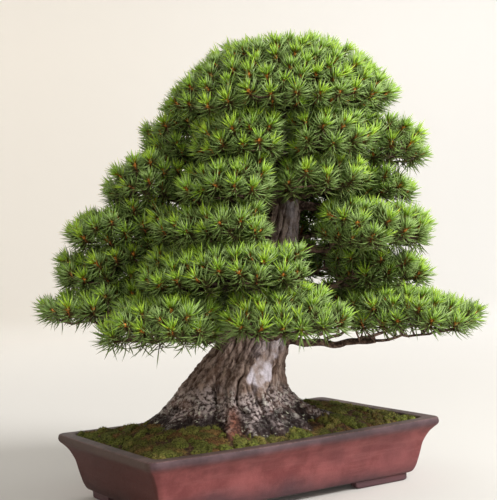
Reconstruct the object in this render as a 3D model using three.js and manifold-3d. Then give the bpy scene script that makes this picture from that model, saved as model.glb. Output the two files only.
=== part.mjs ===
// A Japanese white pine bonsai in a rectangular unglazed pot, in millimetres, +Z up.
// The pot's long side runs along X and its front faces -Y. The pot stands on z = 0, and the
// whole plant is centred on the Z axis by its bounding box.
import * as THREE from "three";
import { mergeVertices } from "three/addons/utils/BufferGeometryUtils.js";
import Module from "manifold-3d";

// ---- driving dimensions ----
const potLength = 600;
const potWidth = 380;
const potHeight = 115;
const cornerRadius = 16; // of the lip, in plan
const footHeight = 12;
const footInset = 43; // from the lip's outer edge to the outside of a foot
const footWidth = 18; // thickness of a foot's two arms
const footReachLong = 128; // arm of a foot along the long side
const footReachShort = 84; // arm of a foot along the short side
const footRoot = 3; // how far a foot runs up into the pot's body
const cornerShrink = 0.12; // how much a corner's radius drops for each mm of inset
const tightestCorner = 3;
const drainSpacing = 260; // between the two drain holes
const drainRadius = 20;
const drainSides = 20;
const wireHoleRadius = 4;
const wireHoleSpacing = 300; // along the pot
const wireHoleSpread = 140; // across the pot
const wireHoleSides = 8;
const drillLength = 40; // enough to pass through the pot's floor
const screenSize = 62;
const screenThickness = 1.6;
const meshHole = 12; // square openings in a drainage screen
const meshPitch = 18;
const screenRoom = 2; // left round a screen in the soil
const screenRecess = 6; // how far the soil stands clear above a screen
const wireRadius = 1.2;
const stapleSpan = 35; // between the legs of a screen's wire
const wireOverhang = 12; // of the wire's ends past the edge of the drain hole
const wireLift = 1; // of the wire over the screen
const wireTuck = 1.5; // of the wire's ends under the pot
const gap = 0.4; // left between neighbouring pieces
const rootGap = 1; // left round the trunk, sideways, where soil, moss and branches meet it
const soilFloor = 27.5; // height of the soil's underside
const trunkFoot = 92; // height of the underside of the root plate
const rootCrown = 112; // height from which the roots fade into the trunk
const rootFade = 26;
const trunkTop = 689;
const trunkSides = 28;

// Outside of the pot from the foot up: distance in from the lip's edge, and height.
const outsideProfile = [
  [46, footHeight],
  [39, 16],
  [34, 25],
  [30, 38],
  [26, 54],
  [22, 70],
  [17, 82],
  [10, 93],
  [3, 100],
  [0, 102],
  [0, potHeight],
];
// Inside of the pot from the floor up.
const insideProfile = [
  [60, 27],
  [51, 32],
  [41, 60],
  [33, 84],
  [27, 100],
  [25, potHeight + 1],
];
// The soil's mounded top, from the wall towards the trunk.
const moundProfile = [
  [27.5, 107],
  [50, 113],
  [95, 121],
  [140, 128],
];

// The trunk's centre line, with its radius there.
const trunkLine = [
  { x: -6, y: 6, z: trunkFoot, radius: 118 },
  { x: -9, y: 7, z: 122, radius: 114 },
  { x: -13, y: 9, z: 147, radius: 103 },
  { x: -13, y: 10, z: 170, radius: 94 },
  { x: -10, y: 10, z: 194, radius: 86 },
  { x: -2, y: 6, z: 222, radius: 75 },
  { x: 14, y: -2, z: 262, radius: 63 },
  { x: 30, y: -3, z: 310, radius: 57 },
  { x: 52, y: -4, z: 375, radius: 48 },
  { x: 72, y: -8, z: 440, radius: 40 },
  { x: 84, y: -12, z: 510, radius: 32 },
  { x: 92, y: -16, z: 590, radius: 22 },
  { x: 98, y: -20, z: trunkTop, radius: 10 },
];

// Surface roots: compass direction, how far past the trunk they reach, and their spread.
const roots = [
  { toward: 158, reach: 74, spread: 17 },
  { toward: 196, reach: 48, spread: 15 },
  { toward: 232, reach: 40, spread: 14 },
  { toward: 268, reach: 24, spread: 13 },
  { toward: 298, reach: 30, spread: 14 },
  { toward: 334, reach: 66, spread: 17 },
  { toward: 18, reach: 46, spread: 15 },
  { toward: 62, reach: 28, spread: 14 },
  { toward: 108, reach: 24, spread: 15 },
];

// Pads of needles, tier by tier: compass direction from the trunk, distance of the pad's middle
// from it, height of its underside, half length outwards, degrees it spans to either side, and
// thickness. A pad bends round the trunk, and the ones at the back are long crescents.
const tiers = [
  [
    { side: "left", toward: 165, reach: 283, height: 318, length: 110, span: 19, depth: 62 },
    { side: "front_left", toward: 206, reach: 272, height: 298, length: 106, span: 18, depth: 70 },
    { side: "front", toward: 248, reach: 250, height: 294, length: 102, span: 20, depth: 74 },
    { side: "right", toward: 316, reach: 292, height: 272, length: 116, span: 24, depth: 84 },
    { side: "back_right", toward: 6, reach: 276, height: 288, length: 108, span: 22, depth: 74 },
    { side: "back", toward: 86, reach: 246, height: 304, length: 96, span: 54, depth: 70 },
  ],
  [
    { side: "left", toward: 158, reach: 278, height: 388, length: 100, span: 19, depth: 62 },
    { side: "front", toward: 220, reach: 234, height: 376, length: 92, span: 32, depth: 72 },
    { side: "right", toward: 322, reach: 208, height: 366, length: 88, span: 27, depth: 62 },
    { side: "back", toward: 67, reach: 222, height: 382, length: 92, span: 65, depth: 64 },
  ],
  [
    { side: "left", toward: 160, reach: 282, height: 458, length: 94, span: 18, depth: 68 },
    { side: "front_left", toward: 206, reach: 206, height: 456, length: 82, span: 26, depth: 62 },
    { side: "right", toward: 303, reach: 196, height: 436, length: 92, span: 34, depth: 72 },
    { side: "back", toward: 63, reach: 204, height: 456, length: 88, span: 73, depth: 68 },
  ],
  [
    { side: "left", toward: 162, reach: 232, height: 534, length: 88, span: 20, depth: 70 },
    { side: "front_left", toward: 209, reach: 188, height: 526, length: 76, span: 22, depth: 68 },
    { side: "front", toward: 264, reach: 142, height: 534, length: 64, span: 28, depth: 60 },
    { side: "right", toward: 328, reach: 172, height: 516, length: 72, span: 26, depth: 58 },
    { side: "back", toward: 69, reach: 166, height: 532, length: 76, span: 68, depth: 68 },
  ],
  [
    { side: "left", toward: 156, reach: 182, height: 612, length: 74, span: 24, depth: 68 },
    { side: "front_left", toward: 210, reach: 158, height: 602, length: 70, span: 25, depth: 74 },
    { side: "front", toward: 268, reach: 142, height: 602, length: 66, span: 27, depth: 72 },
    { side: "right", toward: 325, reach: 180, height: 582, length: 78, span: 24, depth: 74 },
    { side: "back", toward: 62, reach: 148, height: 604, length: 70, span: 64, depth: 72 },
  ],
];
const crownPad = { x: 84, y: -24, height: 690, length: 202, width: 184, depth: 124, lean: 16 };

// Section of the crown, from its underside up: share of its half width, and share of its depth.
const crownSection = [
  [0.8, 0],
  [0.98, 0.08],
  [1, 0.2],
  [0.96, 0.38],
  [0.87, 0.54],
  [0.76, 0.68],
  [0.6, 0.84],
  [0.36, 0.96],
];
// Section of a pad, from its underside up: share of its half width, and share of its depth.
const padSection = [
  [0.74, 0],
  [0.95, 0.08],
  [1, 0.3],
  [0.99, 0.6],
  [0.86, 0.84],
  [0.52, 0.98],
];
const padSides = 16;
const padSlope = 0.3; // share of its depth that a pad has lost at its outer end
const padSquareness = 0.75; // 1 is an ellipse in plan, and less is fuller at the corners

// Branches: thickness at the trunk, tier by tier.
const branchRadii = [13, 11, 9, 8, 7];
const branchSides = 7;
const branchSteps = 6;
const branchBend = 0.45; // where a branch bends, as a share of the way to its pad's middle
const branchStop = 0.6; // how far short of the pad's middle it ends, in half lengths
const branchTaper = 0.62; // share of its thickness that it loses on the way
const branchFall = 4; // how far below its bend it leaves the trunk
const padClearance = 1.5; // between a branch and the pad over it

// Cushions of moss on the soil: centre, half sizes and thickness.
const mossCushions = [
  { side: "front_left", x: -165, y: -105, length: 92, width: 42, depth: 9 },
  { side: "front_right", x: 120, y: -128, length: 96, width: 22, depth: 8 },
  { side: "right", x: 225, y: 30, length: 32, width: 88, depth: 10 },
];
const mossRings = [1, 1, 0.85, 0.5]; // shares of the half sizes, from the underside up
const mossSides = 14;
const mossSunk = 12; // how far a cushion's rough shape starts below the soil

// ---- materials ----
function finish(colour, roughness) {
  return new THREE.MeshStandardMaterial({ color: colour, roughness, metalness: 0 });
}
const clay = finish(0x7a4842, 0.8);
const barkFinish = finish(0x6b5d52, 0.95);
const needleFinish = finish(0x3f6b2c, 0.7);
const soilFinish = finish(0x3a2c22, 1);
const mossFinish = finish(0x5c7a2a, 1);
const netFinish = finish(0x20221f, 0.6);
const wireFinish = finish(0x8a5a3a, 0.5);

// ---- helpers ----
const wasm = await Module();
wasm.setup();
const group = new THREE.Group();

function radians(degrees) {
  return (degrees * Math.PI) / 180;
}

// A closed barrel, standing along Z, whose vertices are each moved by place(point, row, step,
// share): the row from the bottom, the step round the ring, and 0 for the centre of an end.
function barrel(sides, rows, place) {
  const skin = new THREE.CylinderGeometry(1, 1, 1, sides, rows, false, Math.PI / 2);
  const spots = skin.attributes.position;
  const point = new THREE.Vector3();
  for (let i = 0; i < spots.count; i += 1) {
    const row = Math.round((spots.getY(i) + 0.5) * rows);
    const turn = Math.atan2(-spots.getZ(i), spots.getX(i)) / (2 * Math.PI);
    const step = (Math.round(turn * sides) + sides) % sides;
    const share = Math.round(Math.hypot(spots.getX(i), spots.getZ(i)));
    place(point, row, step, share);
    spots.setXYZ(i, point.x, point.y, point.z);
  }
  return skin;
}

function solidOf(geometry) {
  const bare = geometry.clone();
  bare.deleteAttribute("normal");
  bare.deleteAttribute("uv");
  const joined = mergeVertices(bare, 1e-3);
  const vertProperties = new Float32Array(joined.attributes.position.array);
  const triVerts = new Uint32Array(joined.index.array);
  return new wasm.Manifold(new wasm.Mesh({ numProp: 3, vertProperties, triVerts }));
}

function geometryOf(solid) {
  const mesh = solid.getMesh();
  const geometry = new THREE.BufferGeometry();
  geometry.setAttribute("position", new THREE.BufferAttribute(mesh.vertProperties, 3));
  geometry.setIndex(new THREE.BufferAttribute(mesh.triVerts, 1));
  return geometry;
}

function add(name, geometry, material) {
  const mesh = new THREE.Mesh(geometry, material);
  mesh.name = name;
  group.add(mesh);
}

// Straight-line reading of a list of [key, value] pairs.
function readAlong(pairs, key) {
  let i = 1;
  while (i < pairs.length - 1 && key > pairs[i][0]) i += 1;
  const [k0, v0] = pairs[i - 1];
  const [k1, v1] = pairs[i];
  const share = Math.min(Math.max((key - k0) / (k1 - k0), 0), 1);
  return v0 + (v1 - v0) * share;
}

// ---- pot ----
const cornerSteps = 4; // facets in each rounded corner
const traySides = 4 * (cornerSteps + 1);

// A flat-ended tray: a rounded rectangle carried up a profile of [inset, height] pairs.
function tray(profile) {
  return barrel(traySides, profile.length - 1, (point, row, step, share) => {
    const [inset, height] = profile[row];
    const radius = Math.max(cornerRadius - inset * cornerShrink, tightestCorner);
    const corner = Math.floor(step / (cornerSteps + 1));
    const swing = radians(90 * (corner + (step % (cornerSteps + 1)) / cornerSteps));
    const signX = corner === 0 || corner === 3 ? 1 : -1;
    const signY = corner < 2 ? 1 : -1;
    const x = signX * (potLength / 2 - inset - radius) + radius * Math.cos(swing);
    const y = signY * (potWidth / 2 - inset - radius) + radius * Math.sin(swing);
    point.set(x * share, y * share, height);
  });
}

function box(sizeX, sizeY, sizeZ, x, y, z) {
  return solidOf(new THREE.BoxGeometry(sizeX, sizeY, sizeZ).translate(x, y, z));
}

function uprightCylinder(radius, height, sides, x, y, z) {
  const round = new THREE.CylinderGeometry(radius, radius, height, sides);
  return solidOf(round.rotateX(Math.PI / 2).translate(x, y, z));
}

// Four feet: a ring with its middle and the middle of each side cut away.
function makeFeet() {
  const top = footHeight + footRoot;
  const ring = solidOf(tray([[footInset, 0], [footInset, top]]));
  const ringInset = footInset + footWidth;
  const openLong = potLength - 2 * (footInset + footReachLong);
  const openShort = potWidth - 2 * (footInset + footReachShort);
  return ring
    .subtract(solidOf(tray([[ringInset, -1], [ringInset, top + 1]])))
    .subtract(box(openLong, potWidth, 2 * top + 1, 0, 0, 0))
    .subtract(box(potLength, openShort, 2 * top + 1, 0, 0, 0));
}

function makePot() {
  let pot = solidOf(tray(outsideProfile)).add(makeFeet()).subtract(solidOf(tray(insideProfile)));
  const middle = drillLength / 2;
  for (const sign of [-1, 1]) {
    const drainX = (sign * drainSpacing) / 2;
    pot = pot.subtract(uprightCylinder(drainRadius, drillLength, drainSides, drainX, 0, middle));
    for (const side of [-1, 1]) {
      const holeX = (sign * wireHoleSpacing) / 2;
      const holeY = (side * wireHoleSpread) / 2;
      const drill = uprightCylinder(wireHoleRadius, drillLength, wireHoleSides, holeX, holeY, middle);
      pot = pot.subtract(drill);
    }
  }
  return pot;
}
add("pot", geometryOf(makePot()), clay);

// ---- drainage screens, each held by a bent wire ----
const screenZ = insideProfile[0][1] + gap;

function makeScreen(x) {
  const middle = screenZ + screenThickness / 2;
  let plate = box(screenSize, screenSize, screenThickness, x, 0, middle);
  for (const column of [-1, 0, 1]) {
    for (const row of [-1, 0, 1]) {
      const holeX = x + column * meshPitch;
      const holeY = row * meshPitch;
      plate = plate.subtract(box(meshHole, meshHole, 2 * screenThickness, holeX, holeY, middle));
    }
  }
  return geometryOf(plate);
}

// The wire crosses the screen, drops through the drain hole and is bent out under the pot.
function makeStaple(x) {
  const top = screenZ + screenThickness + wireLift + wireRadius;
  const leg = stapleSpan / 2;
  const under = footHeight - wireRadius - wireTuck;
  const half = [
    [drainRadius + wireOverhang, under],
    [leg + 1, under],
    [leg, under + 5],
    [leg, screenZ],
    [leg - 4, top],
  ];
  const mirrored = half.map(([along, z]) => [-along, z]);
  const route = [...mirrored, [0, top], ...half.reverse()];
  const spots = route.map(([along, z]) => new THREE.Vector3(x + along, 0, z));
  const path = new THREE.CatmullRomCurve3(spots, false, "centripetal");
  const section = new THREE.Shape().absarc(0, 0, wireRadius, 0, 2 * Math.PI, false);
  return new THREE.ExtrudeGeometry(section, {
    steps: 30,
    curveSegments: 3,
    bevelEnabled: false,
    extrudePath: path,
  });
}

// ---- trunk ----
const trunkRadii = trunkLine.map((ring) => [ring.z, ring.radius]);
const trunkXs = trunkLine.map((ring) => [ring.z, ring.x]);
const trunkYs = trunkLine.map((ring) => [ring.z, ring.y]);

function trunkCentre(z) {
  return new THREE.Vector3(readAlong(trunkXs, z), readAlong(trunkYs, z), z);
}

// How far a root stands out beyond the trunk's radius: a bell across it that fades with height.
function rootReach(angle, z) {
  const fade = Math.exp(-Math.max(z - rootCrown, 0) / rootFade);
  let out = 0;
  for (const root of roots) {
    const off = ((angle - root.toward + 540) % 360) - 180;
    out += root.reach * Math.exp(-((off / root.spread) ** 2));
  }
  return out * fade;
}

function trunkShape(out = 0) {
  return barrel(trunkSides, trunkLine.length - 1, (point, row, step, share) => {
    const ring = trunkLine[row];
    const angle = (step * 360) / trunkSides;
    const radius = (ring.radius + rootReach(angle, ring.z) + out) * share;
    const lift = row === 0 ? -out : 0;
    point.set(
      ring.x + radius * Math.cos(radians(angle)),
      ring.y + radius * Math.sin(radians(angle)),
      ring.z + lift,
    );
  });
}
add("trunk_and_roots", trunkShape(), barkFinish);
const trunkCutter = solidOf(trunkShape(rootGap));

// ---- soil and moss ----
const soilWall = [
  [60 + gap, soilFloor],
  [51 + gap, 32.5],
  [41 + gap, 60],
  [33 + gap, 84],
  [28.5, 102],
];

function soilShape(lift = 0) {
  const profile = [...soilWall, ...moundProfile].map(([inset, z]) => [inset, z + lift]);
  return solidOf(tray(profile));
}

function soilHeight(x, y) {
  const inset = Math.min(potLength / 2 - Math.abs(x), potWidth / 2 - Math.abs(y));
  return readAlong(moundProfile, inset);
}

function makeSoil() {
  let soil = soilShape().subtract(trunkCutter);
  const recess = screenSize + screenRoom;
  for (const sign of [-1, 1]) {
    const x = (sign * drainSpacing) / 2;
    soil = soil.subtract(box(recess, recess, 2 * screenRecess, x, 0, soilFloor));
  }
  return soil;
}
add("soil", geometryOf(makeSoil()), soilFinish);

function makeMoss(cushion) {
  const dome = barrel(mossSides, mossRings.length - 1, (point, row, step, share) => {
    const swing = (step * 2 * Math.PI) / mossSides;
    const spread = mossRings[row] * share;
    const x = cushion.x + cushion.length * spread * Math.cos(swing);
    const y = cushion.y + cushion.width * spread * Math.sin(swing);
    const rise = row === 0 ? -mossSunk : cushion.depth * (1 - spread ** 2);
    point.set(x, y, soilHeight(x, y) + rise);
  });
  return solidOf(dome).subtract(soilShape(gap)).subtract(trunkCutter);
}
for (const cushion of mossCushions) {
  add(`moss_${cushion.side}`, geometryOf(makeMoss(cushion)), mossFinish);
}
for (const sign of [-1, 1]) {
  const side = sign < 0 ? "left" : "right";
  add(`drain_screen_${side}`, makeScreen((sign * drainSpacing) / 2), netFinish);
  add(`screen_wire_${side}`, makeStaple((sign * drainSpacing) / 2), wireFinish);
}

// ---- foliage pads ----
function fuller(value) {
  return Math.sign(value) * Math.abs(value) ** padSquareness;
}

// A place on a pad: outwards and sideways as shares of its half sizes, and height as a share of
// its depth. The centre of its top end is its crest.
function padPlace(section, row, step, share, shaped) {
  const [spread, rise] = section[row];
  const swing = (step * 2 * Math.PI) / padSides;
  const crest = share === 0 && row > 0 ? 1 : rise;
  return [
    shaped(Math.cos(swing)) * spread * share,
    shaped(Math.sin(swing)) * spread * share,
    crest,
  ];
}

function padShape(pad, hub) {
  return barrel(padSides, padSection.length - 1, (point, row, step, share) => {
    const [outward, sideways, rise] = padPlace(padSection, row, step, share, fuller);
    const angle = radians(pad.toward + pad.span * sideways);
    const distance = pad.reach + pad.length * outward;
    const depth = pad.depth * (1 - padSlope * ((1 + outward) / 2) ** 2);
    point.set(
      hub.x + distance * Math.cos(angle),
      hub.y + distance * Math.sin(angle),
      pad.height + depth * rise,
    );
  });
}

function crownShape() {
  const plain = (value) => value;
  return barrel(padSides, crownSection.length - 1, (point, row, step, share) => {
    const [along, across, rise] = padPlace(crownSection, row, step, share, plain);
    point.set(
      crownPad.x + crownPad.lean * rise + crownPad.length * along,
      crownPad.y + crownPad.width * across,
      crownPad.height + crownPad.depth * rise,
    );
  });
}

// ---- branches ----
// A branch leaves the trunk's centre line below its pad and ends under the pad's inner half.
function branchShape(pad, radius) {
  const outward = new THREE.Vector3(Math.cos(radians(pad.toward)), Math.sin(radians(pad.toward)), 0);
  const under = (share) => pad.height - padClearance - radius * (1 - branchTaper * share);
  const start = trunkCentre(under(0) - branchFall);
  const hub = trunkCentre(pad.height);
  const bend = hub.clone().addScaledVector(outward, pad.reach * branchBend).setZ(under(branchBend));
  const tip = hub.clone().addScaledVector(outward, pad.reach - pad.length * branchStop);
  const path = new THREE.CatmullRomCurve3([start, bend, tip.setZ(under(1))]);
  const frames = path.computeFrenetFrames(branchSteps);
  return barrel(branchSides, branchSteps, (point, row, step, share) => {
    const along = row / branchSteps;
    const thick = radius * (1 - branchTaper * along) * share;
    const swing = (step * 2 * Math.PI) / branchSides;
    point.copy(path.getPointAt(along));
    point.addScaledVector(frames.normals[row], thick * Math.cos(swing));
    point.addScaledVector(frames.binormals[row], thick * Math.sin(swing));
  });
}

tiers.forEach((pads, tier) => {
  for (const pad of pads) {
    const name = `tier${tier + 1}_${pad.side}`;
    const shape = padShape(pad, trunkCentre(pad.height));
    add(`foliage_${name}`, shape, needleFinish);
    const branch = solidOf(branchShape(pad, branchRadii[tier])).subtract(trunkCutter);
    add(`branch_${name}`, geometryOf(branch), barkFinish);
  }
});
add("foliage_crown", crownShape(), needleFinish);

// ---- the origin: under the middle of the whole plant, on the surface it stands on ----
const bounds = new THREE.Box3().setFromObject(group);
group.position.set(-(bounds.min.x + bounds.max.x) / 2, -(bounds.min.y + bounds.max.y) / 2, 0);

export default group;
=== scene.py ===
import bpy
import bmesh
import math
import numpy as np
from mathutils import Matrix, Vector


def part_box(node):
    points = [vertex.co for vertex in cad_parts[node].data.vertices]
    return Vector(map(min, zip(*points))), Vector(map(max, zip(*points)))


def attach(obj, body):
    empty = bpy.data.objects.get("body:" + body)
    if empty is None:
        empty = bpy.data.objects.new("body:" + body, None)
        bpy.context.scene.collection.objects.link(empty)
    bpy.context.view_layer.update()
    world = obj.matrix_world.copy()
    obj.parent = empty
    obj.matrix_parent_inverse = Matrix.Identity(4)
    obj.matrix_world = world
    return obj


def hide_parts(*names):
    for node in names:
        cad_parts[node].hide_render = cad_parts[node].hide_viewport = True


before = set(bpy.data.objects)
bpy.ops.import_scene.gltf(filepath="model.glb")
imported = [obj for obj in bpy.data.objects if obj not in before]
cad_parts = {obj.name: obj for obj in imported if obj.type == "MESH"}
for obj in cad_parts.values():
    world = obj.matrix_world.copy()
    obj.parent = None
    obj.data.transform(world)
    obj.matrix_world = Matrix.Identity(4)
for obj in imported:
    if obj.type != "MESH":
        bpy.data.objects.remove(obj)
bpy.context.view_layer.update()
print("frame loaded:", len(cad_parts), "nodes")

mm = 0.001
potLow, potHigh = (np.array(corner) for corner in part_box("pot"))
potMiddle = (potLow + potHigh) / 2
potHalf = (potHigh - potLow) / 2
rimHeight = potHigh[2]

cameraPlace = {
    "azimuth": -31.85,  # degrees round from the pot's front, to its left
    "downward": 0.75,
    "roll": -2.63,
    "lens": 81.37,  # in mm, as the sensor's width
    "sensor": 36,
    "distance": 2.068,  # from the middle of the rim, along the view
    "rise": 0.320,  # of the view's middle above the rim's middle
}


def placeCamera():
    # three axes at right angles: back points from the plant to the camera
    turn, tilt, roll = (math.radians(cameraPlace[key]) for key in ("azimuth", "downward", "roll"))
    level = Vector((math.cos(turn), math.sin(turn), 0))
    back = Vector((math.sin(turn) * math.cos(tilt), -math.cos(turn) * math.cos(tilt), math.sin(tilt)))
    upright = back.cross(level)
    right = level * math.cos(roll) + upright * math.sin(roll)
    up = upright * math.cos(roll) - level * math.sin(roll)
    aim = Vector((potMiddle[0], potMiddle[1], rimHeight)) + up * cameraPlace["rise"]
    spot = aim + back * cameraPlace["distance"]
    data = bpy.data.cameras.new("camera")
    data.sensor_width = cameraPlace["sensor"]
    data.lens = cameraPlace["lens"]
    camera = bpy.data.objects.new("camera", data)
    turned = Matrix((right, up, back)).transposed().to_4x4()
    camera.matrix_world = Matrix.Translation(spot) @ turned
    bpy.context.collection.objects.link(camera)
    bpy.context.scene.camera = camera


placeCamera()
print("camera placed")


def unit(vectors):
    return vectors / np.maximum(np.linalg.norm(vectors, axis=-1, keepdims=True), 1e-12)


def bell(offset, width):
    # 1 where the offset is 0, and falling away to both sides
    return np.exp(-((offset / width) ** 2))


def smooth(low, high, value):
    # 0 below low, 1 above high, and an S-shaped step between
    share = np.clip((value - low) / (high - low), 0, 1)
    return share * share * (3 - 2 * share)


def mix(low, high, share):
    return low + (high - low) * share


def waves(points, size, seed, count=16):
    # a sum of plane waves in random directions, each about size long: soft hills between -1 and 1
    rng = np.random.default_rng(seed)
    direction = unit(rng.normal(size=(points.shape[-1], count)).T).T
    rate = 2 * np.pi / (size * rng.uniform(0.7, 1.4, count))
    phase = rng.uniform(0, 2 * np.pi, count)
    total = np.zeros(points.shape[:-1])
    for k in range(count):
        total += np.sin(points @ direction[:, k] * rate[k] + phase[k])
    return total / math.sqrt(count)


def wobbly(paths, reach, size, seed):
    # lines bent by slow waves
    return paths + reach * np.stack([waves(paths + k, size, seed + k) for k in range(3)], -1)


def cells(u, v, around, seed):
    # cracked plates on a jittered grid that closes on itself after `around` columns: distance to
    # the nearest plate's middle, how far inside its own plate a place is, and a number per plate
    rng = np.random.default_rng(seed)
    rows = int(np.max(v) - np.min(v)) + 5
    table = rng.random((around, rows, 3))
    column, row = np.floor(u).astype(int), np.floor(v).astype(int)
    farOff = 9.0
    first = np.full(u.shape, farOff)
    second = np.full(u.shape, farOff)
    number = np.zeros(u.shape)
    for stepU in (-1, 0, 1):
        for stepV in (-1, 0, 1):
            jitter = table[(column + stepU) % around, (row + stepV) % rows]
            away = np.hypot(column + stepU + jitter[..., 0] - u, row + stepV + jitter[..., 1] - v)
            nearer = away < first
            second = np.where(nearer, first, np.minimum(second, away))
            number = np.where(nearer, jitter[..., 2], number)
            first = np.where(nearer, away, first)
    return first, second - first, number


def putMesh(name, verts, faces, material, uv=None, marks=None):
    # verts is (n, 3) and faces a list of arrays, each with rows of three or four vertex numbers
    mesh = bpy.data.meshes.new(name)
    verts = np.ascontiguousarray(verts, dtype=np.float32).reshape(-1, 3)
    corners = np.concatenate([group.reshape(-1) for group in faces]).astype(np.int32)
    sizes = np.concatenate([np.full(len(group), group.shape[1]) for group in faces]).astype(np.int32)
    starts = np.concatenate([[0], np.cumsum(sizes)[:-1]]).astype(np.int32)
    mesh.vertices.add(len(verts))
    mesh.vertices.foreach_set("co", verts.reshape(-1))
    mesh.loops.add(len(corners))
    mesh.loops.foreach_set("vertex_index", corners)
    mesh.polygons.add(len(sizes))
    mesh.polygons.foreach_set("loop_start", starts)
    mesh.polygons.foreach_set("loop_total", sizes)
    mesh.polygons.foreach_set("use_smooth", np.ones(len(sizes), dtype=bool))
    if uv is not None:
        layer = mesh.uv_layers.new(name="OFBake")
        layer.data.foreach_set("uv", np.asarray(uv, dtype=np.float32)[corners].reshape(-1))
    for key, values in (marks or {}).items():
        mark = mesh.attributes.new(key, "FLOAT", "POINT")
        mark.data.foreach_set("value", np.asarray(values, dtype=np.float32).reshape(-1))
    mesh.update(calc_edges=True)
    mesh.validate()
    mesh.materials.append(material)
    piece = bpy.data.objects.new(name, mesh)
    bpy.context.collection.objects.link(piece)
    return piece


def ringFaces(rows, columns):
    # quads between rings of a closed shell, and the fans that close its two ends; the two end
    # points follow the rings in the vertex list
    row, column = np.meshgrid(np.arange(rows - 1), np.arange(columns), indexing="ij")
    after = (column + 1) % columns
    here, above = row * columns, (row + 1) * columns
    quads = np.stack([here + column, here + after, above + after, above + column], axis=-1)
    ring = np.arange(columns)
    following = (ring + 1) % columns
    last = (rows - 1) * columns
    low = np.stack([np.full(columns, rows * columns), following, ring], axis=-1)
    high = np.stack([np.full(columns, rows * columns + 1), last + ring, last + following], axis=-1)
    return quads.reshape(-1, 4), np.concatenate([low, high])


def repeated(faces, count, step):
    # the same faces for every copy of a shape that takes `step` vertices
    shifts = np.arange(count)[:, None, None] * step
    return (faces[None] + shifts).reshape(-1, faces.shape[1])


def shell(rings):
    # rings (rows, columns, 3) closed at both ends by the middle of their end rings
    rows, columns = rings.shape[:2]
    ends = np.stack([rings[0].mean(0), rings[-1].mean(0)])
    return np.concatenate([rings.reshape(-1, 3), ends]), list(ringFaces(rows, columns))


def sidesOf(direction, helper=(0.0, 0.0, 1.0)):
    # two vectors at right angles to each direction, right-handed with it
    reference = np.broadcast_to(np.array(helper), direction.shape)
    upright = np.abs(np.sum(direction * reference, axis=-1, keepdims=True)) > 0.95
    reference = np.where(upright, np.array([1.0, 0.0, 0.0]), reference)
    side = unit(np.cross(reference, direction))
    return side, np.cross(direction, side)


def limbs(paths, radii, columns):
    # tubes carried along many paths at once: paths (n, rows, 3) and radii (n, rows)
    count, rows = paths.shape[:2]
    tangent = unit(np.gradient(paths, axis=1))
    overall = unit(paths[:, -1] - paths[:, 0])
    helper = np.where(np.abs(overall[:, 2:]) > 0.8, [[1.0, 0.0, 0.0]], [[0.0, 0.0, 1.0]])
    side = unit(np.cross(helper[:, None, :], tangent))
    other = np.cross(tangent, side)
    swing = np.arange(columns) * 2 * np.pi / columns
    thick = radii[..., None, None]
    across = thick * np.cos(swing)[:, None] * side[:, :, None, :]
    over = thick * np.sin(swing)[:, None] * other[:, :, None, :]
    rings = (paths[:, :, None, :] + across + over).reshape(count, rows * columns, 3)
    ends = paths[:, [0, -1]]
    verts = np.concatenate([rings, ends], axis=1)
    quads, fans = ringFaces(rows, columns)
    step = rows * columns + 2
    return verts.reshape(-1, 3), [repeated(quads, count, step), repeated(fans, count, step)]


def joined(parts):
    # several closed shells as one list of vertices and one pair of face tables
    verts, quads, fans, base = [], [], [], 0
    for points, (four, three) in parts:
        verts.append(points)
        quads.append(four + base)
        fans.append(three + base)
        base += len(points)
    return np.concatenate(verts), [np.concatenate(quads), np.concatenate(fans)]


class Socket:
    # a node's output; arithmetic on it adds Math nodes
    def __init__(self, paint, output):
        self.paint = paint
        self.output = output

    def worked(self, operation, first, second):
        return self.paint.node("Math", {"operation": operation}, {0: first, 1: second})

    def __add__(self, other):
        return self.worked("ADD", self, other)

    __radd__ = __add__

    def __sub__(self, other):
        return self.worked("SUBTRACT", self, other)

    def __rsub__(self, other):
        return self.worked("SUBTRACT", other, self)

    def __mul__(self, other):
        return self.worked("MULTIPLY", self, other)

    __rmul__ = __mul__

    def step(self, low, high):
        settings = {"interpolation_type": "SMOOTHSTEP"}
        return self.paint.node("MapRange", settings, {0: self, 1: low, 2: high, 3: 0.0, 4: 1.0})


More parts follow.
